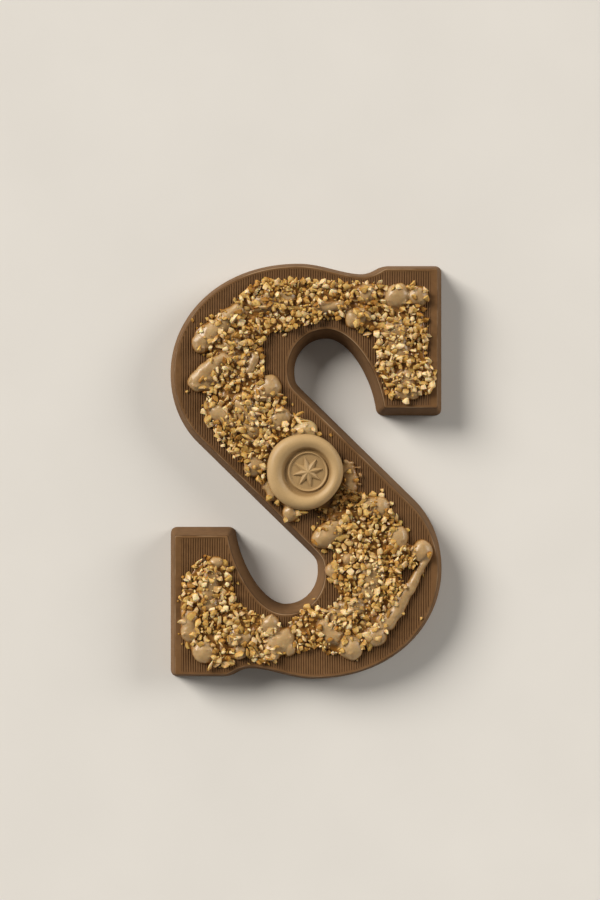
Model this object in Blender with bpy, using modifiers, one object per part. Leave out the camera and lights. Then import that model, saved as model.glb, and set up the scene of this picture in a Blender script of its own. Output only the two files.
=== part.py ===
"""Chocolate letter S with a ribbed face, nut toppings and a round seal.

Metres, +Z up. The letter lies on its flat back, and reads the right way up along +Y.
The origin is on the back, in the middle of the letter.
The outline looks the same after half a turn, so only half of it is written down.
"""
import math
import random
from collections import namedtuple

import bmesh
import bpy
from mathutils import Euler, Vector
from mathutils.geometry import interpolate_bezier

MM = 0.001
SEED = 7
GAP = 0.3 * MM

# Slab: the back is wider than the face by the draft of the mould
SLAB_HEIGHT = 14.5 * MM
SLAB_DRAFT = 2.8 * MM
SLAB_EDGE = 0.5 * MM
CORNER_SIZE = 0.9 * MM
CORNER_STEPS = 3
CURVE_STEP = 2.5 * MM
CURVE_LEAST_STEPS = 3
FLAT_ANGLE = math.radians(0.3)
SHARP_ANGLE = math.radians(32.0)
WELD = 0.01 * MM

# Half of the face's outline, in millimetres and degrees
# A handle of zero starts or ends a straight side; a corner is rounded a little
Knot = namedtuple("Knot", "kind x y heading back ahead")
HALF_OUTLINE = (
    Knot("corner", -52.7, -25.5, 0.0, 0.0, 0.0),
    Knot("corner", -31.3, -25.5, -83.0, 0.0, 12.5),
    Knot("smooth", -8.2, -57.0, 0.0, 12.0, 8.8),
    Knot("smooth", 7.5, -40.8, 90.0, 9.0, 5.4),
    Knot("smooth", 3.0, -30.8, 135.7, 4.6, 0.0),
    Knot("smooth", -42.2, 13.4, 135.7, 0.0, 7.0),
    Knot("smooth", -52.8, 40.0, 90.0, 13.0, 22.0),
    Knot("smooth", -3.0, 82.3, 0.0, 31.0, 9.0),
    Knot("smooth", 22.6, 78.0, 0.0, 8.0, 4.0),
    Knot("corner", 31.7, 81.3, 32.0, 2.5, 0.0),
    Knot("corner", 52.7, 81.3, 0.0, 0.0, 0.0),
)

# Ribs: fine ridges along +Y, which leave a plain strip at the letter's two sides
RIB_PITCH = 0.96 * MM
RIB_DEPTH = 0.24 * MM
RIB_CREST = 0.03 * MM
RIB_COUNT = 104
RIB_LENGTH = 180.0 * MM

# Toppings: a thin crust of set blond chocolate, with drops and strands of it, and nut chips
CRUST_HEIGHT = 1.1 * MM
CRUST_EDGE = 0.35 * MM
CRUST_RESOLUTION = 2
TRIM_REACH = 100.0 * MM
DROP_SLIMNESS = 0.66
DROP_SEGMENTS = 10
DROP_RINGS = 6
NUT_SPACING = 3.95 * MM
NUT_TRIES = 30
NUT_INSET = 0.9 * MM
EDGE_TESTS = 8
NUT_LENGTH = (2.2 * MM, 3.2 * MM)
NUT_WIDTH = (0.65, 0.95)
NUT_THICKNESS = (0.6, 0.85)
NUT_SIDES = (4, 5, 5)
NUT_TAPER = (0.4, 0.8)
NUT_LEAN = 0.3
NUT_TILT = 0.5
NUT_LIFT = 0.26

# Crust outlines, in millimetres, as smooth closed loops through these points
# The two overlap under the seal, where the topping runs on from the one to the other
UPPER_CRUST = (
    (27.6, 55.0), (28.2, 41.0), (31.4, 33.5), (36.5, 28.6), (43.5, 29.0), (50.0, 33.0), (51.4, 39.5),
    (47.6, 47.5), (48.8, 56.5), (46.4, 64.0), (49.0, 70.0), (47.0, 74.6), (36.0, 74.8), (27.0, 75.6),
    (10.0, 76.0), (-8.0, 76.2), (-20.0, 75.0), (-30.0, 67.0), (-39.6, 61.0), (-45.0, 55.0), (-44.6, 49.0),
    (-38.5, 47.4), (-45.6, 39.0), (-46.2, 33.0), (-38.0, 31.0), (-41.6, 25.6), (-37.2, 17.6), (-31.6, 8.6),
    (-23.4, 2.0), (-21.0, -0.8), (-15.0, -5.0), (0.0, -6.0), (2.0, 8.0), (3.4, 18.6), (-1.0, 22.2),
    (-7.6, 25.2), (-9.8, 34.0), (-16.4, 38.6), (-17.6, 52.0), (-8.0, 56.8), (2.4, 59.2), (9.0, 61.4),
    (16.4, 60.0), (21.0, 57.0),
)
LOWER_CRUST = (
    (12.0, 4.0), (18.6, 3.6), (21.0, 0.0), (20.8, -8.0), (28.0, -9.4), (34.0, -15.4), (38.0, -22.4),
    (42.0, -29.0), (49.0, -28.8), (50.2, -35.0), (44.6, -43.4), (40.4, -52.0), (36.4, -62.6),
    (30.0, -69.4), (22.0, -71.0), (15.6, -74.0), (6.0, -69.2), (-4.0, -68.2), (-12.0, -73.0),
    (-19.0, -76.4), (-26.0, -74.0), (-34.0, -78.4), (-42.0, -75.4), (-47.6, -69.6), (-50.4, -60.0),
    (-49.8, -48.0), (-45.2, -38.4), (-37.0, -34.4), (-30.2, -39.6), (-29.0, -51.0), (-22.0, -56.0),
    (-13.8, -58.8), (-7.6, -61.4), (0.4, -54.8), (7.6, -54.8), (13.4, -50.0), (9.2, -42.0),
    (11.2, -33.4), (8.0, -31.0), (2.8, -28.0), (3.2, -22.0), (8.0, -18.4), (2.0, -14.6), (-5.0, -18.2),
    (-9.2, -14.6), (-14.0, -11.2), (-17.4, -6.0), (-8.0, 2.0),
)

# Drops and strands, in millimetres: a chain of x, y and radius, and whether nuts lie on it
UPPER_DROPS = (
    (((-42.4, 51.4, 3.3), (-37.2, 56.6, 3.4)), False),
    (((-43.4, 35.6, 3.4), (-34.4, 44.8, 3.0)), False),
    (((-22.5, 39.6, 2.4), (-21.7, 46.4, 2.2)), False),
    (((-32.1, 61.6, 2.6), (-24.4, 67.4, 2.8)), True),
    (((2.0, 64.6, 2.6), (12.4, 66.4, 3.2)), False),
    (((-14.6, 33.2, 4.6),), False),
    (((-37.4, 25.6, 3.2),), True),
    (((-11.4, 22.6, 3.6),), False),
    (((-0.6, 18.2, 3.2),), False),
    (((-21.4, 3.4, 3.2),), False),
    (((19.0, 61.4, 4.2),), True),
    (((36.0, 70.2, 4.4),), False),
    (((44.8, 69.4, 3.8),), False),
    (((23.4, 70.8, 3.2),), True),
    (((-6.0, 60.8, 3.0),), True),
    (((40.6, 30.8, 3.0),), True),
)
LOWER_DROPS = (
    (((18.0, 0.4, 2.6),), False),
    (((-15.0, -7.6, 2.6),), False),
    (((-6.4, -15.8, 2.4),), False),
    (((7.4, -26.2, 4.6),), False),
    (((27.4, -13.6, 4.2),), True),
    (((35.8, -27.2, 4.6),), False),
    (((45.2, -32.4, 4.2),), False),
    (((48.2, -35.0, 1.5), (43.4, -41.6, 1.8), (40.2, -48.0, 2.2), (36.8, -55.4, 2.4), (32.0, -62.8, 2.8)),
     False),
    (((27.8, -65.8, 4.3),), False),
    (((17.4, -69.6, 4.4),), False),
    (((9.8, -65.2, 4.2),), True),
    (((14.8, -36.4, 2.8),), False),
    (((12.2, -41.4, 2.8),), True),
    (((-14.6, -61.0, 3.8),), True),
    (((-13.6, -67.0, 3.2), (-4.0, -66.6, 2.8)), False),
    (((-41.2, -71.2, 4.4),), False),
    (((-46.4, -58.0, 2.6), (-46.9, -64.6, 2.8)), False),
    (((-37.2, -36.6, 2.6),), True),
)

# Seal: a turned medallion with a fat rim, a sunk middle, a raised ring and a raised star
SEAL_CENTRE = (-0.7 * MM, 0.1 * MM)
SEAL_RADIUS = 15.3 * MM
SEAL_HEIGHT = 4.8 * MM
SEAL_FOOT = 14.3 * MM
SEAL_SEAT = SLAB_HEIGHT + GAP + CRUST_HEIGHT + GAP
SEAL_RECESS_RADIUS = 9.4 * MM
SEAL_RECESS_FLOOR = 2.6 * MM
SEAL_RING_RADIUS = 7.9 * MM
SEAL_RING_HALF = 0.45 * MM
SEAL_RING_RISE = 0.5 * MM
SEAL_SEGMENTS = 36
SEAL_RIM_STEPS = 8
SEAL_RIM_FLOOR = 0.35
SEAL_FLOOR_EDGE = 8.6 * MM
SEAL_WOBBLE = 0.012
SEAL_WOBBLE_LOBES = 3
SEAL_WOBBLE_TURN = 0.8
STAR_POINTS = 8
STAR_RADIUS = 6.3 * MM
STAR_WAIST = 2.9 * MM
STAR_SHOULDER = 0.72
STAR_RISE = 0.6 * MM
STAR_PEAK = 0.9 * MM
STAR_SINK = 0.4 * MM


def clear_scene():
    """Removes every object, so that the model starts from an empty scene."""
    for old in list(bpy.data.objects):
        bpy.data.objects.remove(old, do_unlink=True)


def new_collection(name):
    """A new collection in the scene."""
    collection = bpy.data.collections.new(name)
    bpy.context.scene.collection.children.link(collection)
    return collection


def finish_material(name, colour, roughness):
    """A plain Principled material."""
    material = bpy.data.materials.new(name)
    material.use_nodes = True
    shader = material.node_tree.nodes["Principled BSDF"]
    shader.inputs["Base Color"].default_value = (*colour, 1.0)
    shader.inputs["Roughness"].default_value = roughness
    shader.inputs["Metallic"].default_value = 0.0
    return material


def milk_chocolate():
    """Satin milk chocolate."""
    return finish_material("milk_chocolate", (0.145, 0.066, 0.032), 0.42)


def blond_chocolate():
    """Caramel coloured chocolate with chopped nuts."""
    return finish_material("blond_chocolate", (0.43, 0.25, 0.11), 0.38)


def seal_chocolate():
    """Moulded blond chocolate, a little paler than the topping."""
    return finish_material("seal_chocolate", (0.46, 0.30, 0.14), 0.45)


def finish(target, material):
    """Gives an object its material and smooth shading with sharp edges."""
    target.data.materials.clear()
    target.data.materials.append(material)
    target.data.shade_smooth()
    target.data.set_sharp_from_angle(angle=SHARP_ANGLE)


def object_from_bmesh(name, bm, collection):
    """Turns a bmesh into an object in the collection."""
    mesh = bpy.data.meshes.new(name)
    bm.to_mesh(mesh)
    bm.free()
    made = bpy.data.objects.new(name, mesh)
    collection.objects.link(made)
    return made


def bake(target):
    """Replaces an object's mesh by the mesh with its modifiers applied."""
    bpy.context.view_layer.update()
    evaluated = target.evaluated_get(bpy.context.evaluated_depsgraph_get())
    mesh = bpy.data.meshes.new_from_object(evaluated)
    target.modifiers.clear()
    target.data = mesh


def combine(target, operation, operand):
    """One Boolean with an object or a whole collection, applied; the operand is removed."""
    boolean = target.modifiers.new("combine", "BOOLEAN")
    boolean.operation = operation
    boolean.solver = "EXACT"
    if isinstance(operand, bpy.types.Collection):
        boolean.operand_type = "COLLECTION"
        boolean.collection = operand
        spent = list(operand.objects)
    else:
        boolean.object = operand
        spent = [operand]
    bake(target)
    for used in spent:
        bpy.data.objects.remove(used, do_unlink=True)


def mesh_box(name, low, high, collection):
    """A box between two corners."""
    bm = bmesh.new()
    bmesh.ops.create_cube(bm, size=1.0)
    middle = [(a + b) / 2 for a, b in zip(low, high)]
    size = [b - a for a, b in zip(low, high)]
    bmesh.ops.scale(bm, vec=size, verts=bm.verts)
    bmesh.ops.translate(bm, vec=middle, verts=bm.verts)
    return object_from_bmesh(name, bm, collection)


def handle(knot, length):
    """The end of a knot's Bezier handle, at a signed length along its heading."""
    angle = math.radians(knot.heading)
    return Vector((knot.x + length * math.cos(angle), knot.y + length * math.sin(angle), 0.0))


def outline_stretch(start, end):
    """Points from one knot up to, but not with, the next: a straight side or a Bezier curve."""
    first = handle(start, 0.0)
    last = handle(end, 0.0)
    if start.ahead == 0.0 and end.back == 0.0:
        return [first]
    steps = max(CURVE_LEAST_STEPS, round((last - first).length * MM / CURVE_STEP))
    curve = interpolate_bezier(first, handle(start, start.ahead), handle(end, -end.back), last, steps + 1)
    return curve[:-1]


def rounded_corner(before, corner, after):
    """A small arc in place of a square corner."""
    back = (before - corner).normalized() * CORNER_SIZE
    ahead = (after - corner).normalized() * CORNER_SIZE
    arc = []
    for step in range(CORNER_STEPS + 1):
        t = step / CORNER_STEPS
        arc.append(corner + back * (1 - t) ** 2 + ahead * t ** 2)
    return arc


def half_turn(knot):
    """The knot on the other side of the letter's middle."""
    return knot._replace(x=-knot.x, y=-knot.y, heading=knot.heading + 180.0)


def face_outline():
    """The closed outline of the letter's face, in metres, anticlockwise."""
    knots = list(HALF_OUTLINE) + [half_turn(knot) for knot in HALF_OUTLINE]
    points = []
    corners = set()
    for knot, after in zip(knots, knots[1:] + knots[:1]):
        if knot.kind == "corner":
            corners.add(len(points))
        points += [p * MM for p in outline_stretch(knot, after)]
    outline = []
    for index, point in enumerate(points):
        if index in corners:
            outline += rounded_corner(points[index - 1], point, points[(index + 1) % len(points)])
        else:
            outline.append(point)
    outline.reverse()
    return outline


def offset_outline(points, distance):
    """The same points moved outwards by a distance, along the mean of the two sides' normals."""
    moved = []
    for index, point in enumerate(points):
        to_here = (point - points[index - 1]).normalized()
        from_here = (points[(index + 1) % len(points)] - point).normalized()
        normal_a = Vector((to_here.y, -to_here.x, 0.0))
        normal_b = Vector((from_here.y, -from_here.x, 0.0))
        moved.append(point + (normal_a + normal_b) * (distance / (1.0 + normal_a.dot(normal_b))))
    return moved


def make_slab(collection):
    """The drafted slab: rings of the outline from the back up to the face, lofted and capped."""
    outline = face_outline()
    draft = SLAB_DRAFT / SLAB_HEIGHT
    shoulder = SLAB_HEIGHT - SLAB_EDGE
    levels = ((0.0, SLAB_DRAFT), (shoulder, draft * SLAB_EDGE), (SLAB_HEIGHT, -SLAB_EDGE))
    bm = bmesh.new()
    rings = []
    for z, distance in levels:
        ring = [bm.verts.new((p.x, p.y, z)) for p in offset_outline(outline, distance)]
        rings.append(ring)
    for lower, upper in zip(rings, rings[1:]):
        for index in range(len(outline)):
            after = (index + 1) % len(outline)
            bm.faces.new((lower[index], lower[after], upper[after], upper[index]))
    bm.faces.new(list(reversed(rings[0])))
    bm.faces.new(rings[-1])
    return object_from_bmesh("letter", bm, collection)


def make_rib_cutter(collection):
    """One bar with a zigzag underside, which leaves the ribs standing in the face."""
    section = []
    for half_rib in range(2 * RIB_COUNT + 1):
        x = (half_rib / 2 - RIB_COUNT / 2) * RIB_PITCH
        depth = RIB_CREST if half_rib % 2 == 0 else RIB_DEPTH
        section.append((x, SLAB_HEIGHT - depth))
    section.append((section[-1][0], SLAB_HEIGHT + RIB_DEPTH))
    section.append((section[0][0], SLAB_HEIGHT + RIB_DEPTH))
    bm = bmesh.new()
    end = bm.faces.new([bm.verts.new((x, -RIB_LENGTH / 2, z)) for x, z in section])
    swept = bmesh.ops.extrude_face_region(bm, geom=[end])
    moved = [item for item in swept["geom"] if isinstance(item, bmesh.types.BMVert)]
    bmesh.ops.translate(bm, vec=(0.0, RIB_LENGTH, 0.0), verts=moved)
    bmesh.ops.recalc_face_normals(bm, faces=bm.faces)
    return object_from_bmesh("rib_cutter", bm, collection)


def make_letter(collection, cutters):
    """The milk chocolate letter, with its ribbed face."""
    letter = make_slab(collection)
    combine(letter, "DIFFERENCE", make_rib_cutter(cutters))
    finish(letter, milk_chocolate())


def crust_curve(name, loop, collection):
    """A flat smooth loop through the points, with its lower half below the crust's underside."""
    curve = bpy.data.curves.new(name, "CURVE")
    curve.dimensions = "2D"
    curve.fill_mode = "BOTH"
    curve.resolution_u = CRUST_RESOLUTION
    curve.extrude = CRUST_HEIGHT - CRUST_EDGE
    curve.bevel_depth = CRUST_EDGE
    curve.bevel_resolution = 0
    curve.offset = -CRUST_EDGE
    spline = curve.splines.new("BEZIER")
    spline.bezier_points.add(len(loop) - 1)
    for knot, (x, y) in zip(spline.bezier_points, loop):
        knot.co = (x * MM, y * MM, 0.0)
        knot.handle_left_type = "AUTO"
        knot.handle_right_type = "AUTO"
    spline.use_cyclic_u = True
    made = bpy.data.objects.new(name, curve)
    made.location.z = SLAB_HEIGHT + GAP
    collection.objects.link(made)
    return made


def dissolve_flat(bm):
    """Merges faces that lie in one plane, and drops points on straight edges."""
    bmesh.ops.dissolve_limit(bm, angle_limit=FLAT_ANGLE, verts=bm.verts, edges=bm.edges)


def curve_to_mesh(source, collection):
    """A curve object as a mesh object with welded caps."""
    bpy.context.view_layer.update()
    evaluated = source.evaluated_get(bpy.context.evaluated_depsgraph_get())
    mesh = bpy.data.meshes.new_from_object(evaluated)
    bm = bmesh.new()
    bm.from_mesh(mesh)
    bmesh.ops.remove_doubles(bm, verts=bm.verts, dist=WELD)
    bmesh.ops.recalc_face_normals(bm, faces=bm.faces)
    dissolve_flat(bm)
    bm.to_mesh(mesh)
    bm.free()
    made = bpy.data.objects.new(source.name, mesh)
    made.matrix_world = source.matrix_world
    collection.objects.link(made)
    bpy.data.objects.remove(source, do_unlink=True)
    return made


def chain_in_metres(chain):
    """A chain's drops with their places and radii in metres."""
    return [(x * MM, y * MM, radius * MM) for x, y, radius in chain]


def add_chain(name, chain, collection):
    """A drop, or a strand as the smooth hull of each pair of drops; half of it is cut off below."""
    links = list(zip(chain, chain[1:])) or [(chain[0],)]
    for index, link in enumerate(links):
        bm = bmesh.new()
        for x, y, radius in link:
            made = bmesh.ops.create_uvsphere(
                bm, u_segments=DROP_SEGMENTS, v_segments=DROP_RINGS, radius=radius
            )
            bmesh.ops.scale(bm, vec=(1.0, 1.0, DROP_SLIMNESS), verts=made["verts"])
            bmesh.ops.translate(bm, vec=(x, y, SLAB_HEIGHT + GAP), verts=made["verts"])
        if len(link) > 1:
            bm = convex_hull_of(bm)
        object_from_bmesh(f"{name}_{index}", bm, collection)


def convex_hull_of(bm):
    """The closed convex hull of a bmesh's points, which is freed."""
    hull = bmesh.new()
    for vert in bm.verts:
        hull.verts.new(vert.co)
    bm.free()
    made = bmesh.ops.convex_hull(hull, input=hull.verts)
    bmesh.ops.delete(hull, geom=made["geom_interior"], context="VERTS")
    bmesh.ops.recalc_face_normals(hull, faces=hull.faces)
    return hull


def inside(point, loop):
    """Whether a point lies in a closed loop of points."""
    x, y = point
    hit = False
    for (x0, y0), (x1, y1) in zip(loop, loop[1:] + loop[:1]):
        if (y0 > y) != (y1 > y) and x < x0 + (y - y0) * (x1 - x0) / (y1 - y0):
            hit = not hit
    return hit


def clear_of_edge(point, loop, margin):
    """Whether a point and the points round it at the margin all lie in the loop."""
    for turn in range(EDGE_TESTS):
        angle = math.tau * turn / EDGE_TESTS
        test = (point[0] + margin * math.cos(angle), point[1] + margin * math.sin(angle))
        if not inside(test, loop):
            return False
    return True


def surface_height(x, y, chains):
    """Height of the chocolate under a point, above the letter's face."""
    height = CRUST_HEIGHT
    for chain in chains:
        for start, end in list(zip(chain, chain[1:])) or [(chain[0], chain[0])]:
            share = along((x, y), start, end)
            cx, cy, radius = (a + share * (b - a) for a, b in zip(start, end))
            reach = 1.0 - ((x - cx) ** 2 + (y - cy) ** 2) / radius ** 2
            if reach > 0.0:
                height = max(height, radius * DROP_SLIMNESS * math.sqrt(reach))
    return height


def along(point, start, end):
    """How far along the line from start to end a point lies, from 0 to 1."""
    run = (end[0] - start[0], end[1] - start[1])
    length = run[0] ** 2 + run[1] ** 2
    if length == 0.0:
        return 0.0
    share = ((point[0] - start[0]) * run[0] + (point[1] - start[1]) * run[1]) / length
    return min(1.0, max(0.0, share))


def nut_places(loop, bare, rng):
    """Seeded random places for nuts, evenly apart, in the crust and off its bare drops."""
    metres = [(x * MM, y * MM) for x, y in loop]
    low_x = min(p[0] for p in metres)
    high_x = max(p[0] for p in metres)
    low_y = min(p[1] for p in metres)
    high_y = max(p[1] for p in metres)
    places = []
    tries = int(NUT_TRIES * (high_x - low_x) * (high_y - low_y) / NUT_SPACING ** 2)
    for _ in range(tries):
        spot = (rng.uniform(low_x, high_x), rng.uniform(low_y, high_y))
        near_other = any(math.dist(spot, other) < NUT_SPACING for other in places)
        on_bare = surface_height(*spot, bare) > CRUST_HEIGHT
        if near_other or on_bare or not clear_of_edge(spot, metres, NUT_INSET):
            continue
        places.append(spot)
    return places


def add_nut(name, x, y, base, rng, collection):
    """One chopped nut chip: a tapered, leaning block with flat sides, tilted and turned at random."""
    length = rng.uniform(*NUT_LENGTH)
    width = length * rng.uniform(*NUT_WIDTH)
    thickness = length * rng.uniform(*NUT_THICKNESS)
    lean = (rng.uniform(-NUT_LEAN, NUT_LEAN), rng.uniform(-NUT_LEAN, NUT_LEAN))
    bm = bmesh.new()
    bmesh.ops.create_cone(
        bm, cap_ends=True, segments=rng.choice(NUT_SIDES),
        radius1=0.5, radius2=0.5 * rng.uniform(*NUT_TAPER), depth=1.0,
    )
    for vert in bm.verts:
        vert.co.x += lean[0] * vert.co.z
        vert.co.y += lean[1] * vert.co.z
    bmesh.ops.scale(bm, vec=(length, width, thickness), verts=bm.verts)
    tilt = (rng.uniform(-NUT_TILT, NUT_TILT), rng.uniform(-NUT_TILT, NUT_TILT))
    turn = Euler((*tilt, rng.uniform(0.0, math.tau))).to_matrix()
    bmesh.ops.rotate(bm, cent=(0.0, 0.0, 0.0), matrix=turn, verts=bm.verts)
    centre = SLAB_HEIGHT + GAP + base + NUT_LIFT * thickness
    bmesh.ops.translate(bm, vec=(x, y, centre), verts=bm.verts)
    object_from_bmesh(name, bm, collection)


def keep_largest_body(target):
    """Drops loose scraps, so that only the body with the most faces stays, and merges flat faces."""
    bm = bmesh.new()
    bm.from_mesh(target.data)
    unseen = set(bm.faces)
    bodies = []
    while unseen:
        stack = [unseen.pop()]
        body = []
        while stack:
            face = stack.pop()
            body.append(face)
            for edge in face.edges:
                for other in edge.link_faces:
                    if other in unseen:
                        unseen.remove(other)
                        stack.append(other)
        bodies.append(body)
    bodies.sort(key=len)
    for body in bodies[:-1]:
        bmesh.ops.delete(bm, geom=body, context="FACES")
    dissolve_flat(bm)
    bm.to_mesh(target.data)
    bm.free()


def make_topping(collection, cutters):
    """The topping: both crusts with their drops, strands and nuts joined, and cut flat below."""
    rng = random.Random(SEED)
    pieces = new_collection("topping_pieces")
    halves = (("upper", UPPER_CRUST, UPPER_DROPS), ("lower", LOWER_CRUST, LOWER_DROPS))
    crusts = []
    for half, loop, chains in halves:
        crusts.append(curve_to_mesh(crust_curve(half + "_crust", loop, cutters), pieces))
        metric = [chain_in_metres(chain) for chain, has_nuts in chains]
        bare = [chain_in_metres(chain) for chain, has_nuts in chains if not has_nuts]
        for index, chain in enumerate(metric):
            add_chain(f"{half}_drop_{index}", chain, pieces)
        for index, (x, y) in enumerate(nut_places(loop, bare, rng)):
            add_nut(f"{half}_nut_{index}", x, y, surface_height(x, y, metric), rng, pieces)
    topping = crusts[0]
    pieces.objects.unlink(topping)
    collection.objects.link(topping)
    topping.name = "topping"
    combine(topping, "UNION", pieces)
    bpy.data.collections.remove(pieces)
    corner = (TRIM_REACH, TRIM_REACH, SLAB_HEIGHT + GAP)
    under = mesh_box("under", (-TRIM_REACH, -TRIM_REACH, 0.0), corner, cutters)
    combine(topping, "DIFFERENCE", under)
    combine(topping, "DIFFERENCE", make_seal_room(cutters))
    keep_largest_body(topping)
    finish(topping, blond_chocolate())


def make_seal_room(cutters):
    """A cylinder just wider than the seal, which keeps the drops and nuts round it clear of it."""
    bm = bmesh.new()
    radius = SEAL_RADIUS * (1.0 + SEAL_WOBBLE) + GAP
    bmesh.ops.create_cone(
        bm, cap_ends=True, segments=SEAL_SEGMENTS, radius1=radius, radius2=radius, depth=SLAB_HEIGHT
    )
    bmesh.ops.translate(bm, vec=(*SEAL_CENTRE, SEAL_SEAT - GAP + SLAB_HEIGHT / 2), verts=bm.verts)
    return object_from_bmesh("seal_room", bm, cutters)


def seal_profile():
    """The medallion's half section, from the axis at the top, over the rim, down to the foot."""
    ring_in = SEAL_RING_RADIUS - SEAL_RING_HALF
    ring_out = SEAL_RING_RADIUS + SEAL_RING_HALF
    ring_top = SEAL_RECESS_FLOOR + SEAL_RING_RISE
    crest = (SEAL_RADIUS + SEAL_RECESS_RADIUS) / 2
    half = (SEAL_RADIUS - SEAL_RECESS_RADIUS) / 2
    profile = [
        (0.0, SEAL_RECESS_FLOOR),
        (ring_in, SEAL_RECESS_FLOOR),
        (SEAL_RING_RADIUS, ring_top),
        (ring_out, SEAL_RECESS_FLOOR),
        (SEAL_FLOOR_EDGE, SEAL_RECESS_FLOOR),
    ]
    for step in range(SEAL_RIM_STEPS + 1):
        angle = math.pi * (1.0 - step / SEAL_RIM_STEPS)
        side = math.cos(angle)
        floor = SEAL_RECESS_FLOOR if side < 0.0 else SEAL_HEIGHT * SEAL_RIM_FLOOR
        profile.append((crest + half * side, floor + (SEAL_HEIGHT - floor) * math.sin(angle)))
    profile.append((SEAL_FOOT, 0.0))
    profile.append((0.0, 0.0))
    return profile


def make_star(cutters):
    """A plain eight pointed star with sloping sides and a low peak, sunk a little into the seal."""
    bm = bmesh.new()
    levels = ((SEAL_RECESS_FLOOR - STAR_SINK, 1.0), (SEAL_RECESS_FLOOR + STAR_RISE, STAR_SHOULDER))
    rings = []
    for z, scale in levels:
        ring = []
        for index in range(2 * STAR_POINTS):
            radius = scale * (STAR_RADIUS if index % 2 == 0 else STAR_WAIST)
            angle = math.pi * (index + 0.5) / STAR_POINTS
            ring.append(bm.verts.new((radius * math.cos(angle), radius * math.sin(angle), z)))
        rings.append(ring)
    lower, upper = rings
    peak = bm.verts.new((0.0, 0.0, SEAL_RECESS_FLOOR + STAR_PEAK))
    for index in range(2 * STAR_POINTS):
        after = (index + 1) % (2 * STAR_POINTS)
        bm.faces.new((lower[index], lower[after], upper[after], upper[index]))
        bm.faces.new((upper[index], upper[after], peak))
    bm.faces.new(list(reversed(lower)))
    return object_from_bmesh("star", bm, cutters)


def make_seal(collection, cutters):
    """The round seal, slightly out of round, with its ring and star."""
    mesh = bpy.data.meshes.new("seal")
    profile = seal_profile()
    mesh.from_pydata([(r, 0.0, z) for r, z in profile], [(i, i + 1) for i in range(len(profile) - 1)], [])
    seal = bpy.data.objects.new("seal", mesh)
    collection.objects.link(seal)
    turn = seal.modifiers.new("turn", "SCREW")
    turn.steps = SEAL_SEGMENTS
    turn.render_steps = SEAL_SEGMENTS
    turn.use_merge_vertices = True
    turn.merge_threshold = WELD
    bake(seal)
    bm = bmesh.new()
    bm.from_mesh(seal.data)
    bmesh.ops.remove_doubles(bm, verts=bm.verts, dist=WELD)
    bmesh.ops.recalc_face_normals(bm, faces=bm.faces)
    bm.to_mesh(seal.data)
    bm.free()
    combine(seal, "UNION", make_star(cutters))
    for vert in seal.data.vertices:
        angle = math.atan2(vert.co.y, vert.co.x)
        swell = 1.0 + SEAL_WOBBLE * math.sin(SEAL_WOBBLE_LOBES * angle + SEAL_WOBBLE_TURN)
        vert.co.x *= swell
        vert.co.y *= swell
    seal.location = (*SEAL_CENTRE, SEAL_SEAT)
    finish(seal, seal_chocolate())


def build():
    """Makes the whole letter."""
    clear_scene()
    collection = new_collection("chocolate_letter")
    cutters = new_collection("cutters")
    make_letter(collection, cutters)
    make_topping(collection, cutters)
    make_seal(collection, cutters)


build()
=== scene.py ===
"""Looks for the chocolate letter: fine ribbed slab, caramel topping, nut chips, seal, floor, light, camera.

Metres, +Z up. Millimetre values are written as such and multiplied by MM where they are used.
"""

import math
import random
from collections import namedtuple

import bmesh
import bpy
from mathutils import Matrix, Vector, noise
from mathutils.bvhtree import BVHTree
from mathutils.geometry import interpolate_bezier


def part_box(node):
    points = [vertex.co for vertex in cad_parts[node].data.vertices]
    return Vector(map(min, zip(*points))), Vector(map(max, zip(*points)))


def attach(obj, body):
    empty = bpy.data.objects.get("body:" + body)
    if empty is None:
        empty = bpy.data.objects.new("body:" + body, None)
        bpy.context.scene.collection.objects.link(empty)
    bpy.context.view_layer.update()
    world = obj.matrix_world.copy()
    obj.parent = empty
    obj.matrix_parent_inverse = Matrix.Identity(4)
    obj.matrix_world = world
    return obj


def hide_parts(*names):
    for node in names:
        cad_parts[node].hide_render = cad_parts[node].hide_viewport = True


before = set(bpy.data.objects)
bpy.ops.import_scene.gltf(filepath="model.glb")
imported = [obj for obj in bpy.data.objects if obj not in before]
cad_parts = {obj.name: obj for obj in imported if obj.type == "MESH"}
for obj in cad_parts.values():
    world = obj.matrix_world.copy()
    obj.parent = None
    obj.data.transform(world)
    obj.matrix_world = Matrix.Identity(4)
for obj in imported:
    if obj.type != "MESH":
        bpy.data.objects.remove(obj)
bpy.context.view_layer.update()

MM = 0.001
BODY = "root"

# Camera: straight down from above the middle of the picture, which lies a little off the letter's middle
PICTURE_CENTRE = (-2.48 * MM, 8.68 * MM)
CAMERA_HEIGHT = 594.5 * MM
CAMERA_LENS = 58.0
CAMERA_SENSOR = 36.0
CAMERA_CLIP = (0.05, 20.0)

# Slab in millimetres. The side's levels are heights, each with how far outside the face the side lies there;
# those from the first up to the second of EDGE_RINGS, counted from 0, are the edge that gets a painted highlight.
SLAB_HEIGHT = 14.5
SLAB_DRAFT = 2.75
CORNER_SIZE = 0.9
CORNER_GROWTH = 0.75
CORNER_LEAST = 0.25
CORNER_STEPS = 6
CURVE_STEP = 0.9
CURVE_LEAST_STEPS = 6
SIDE_LEVELS = (
    (0.0, SLAB_DRAFT - 0.42), (0.1, SLAB_DRAFT - 0.17), (0.4, SLAB_DRAFT - 0.04), (1.2, SLAB_DRAFT - 0.2),
    (4.0, 1.99), (7.5, 1.33), (11.0, 0.66), (13.9, 0.1), (14.2, 0.0), (14.38, -0.14), (14.47, -0.32),
    (SLAB_HEIGHT, -0.52), (SLAB_HEIGHT, -1.15),
)
EDGE_RINGS = (9, 11)
RIB_PITCH = 0.96
RIB_COUNT = 104
RIBS_HALF = RIB_COUNT / 2 * RIB_PITCH
RIBS_BORDER = 0.25
RIBS_SLACK = 0.001
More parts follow.
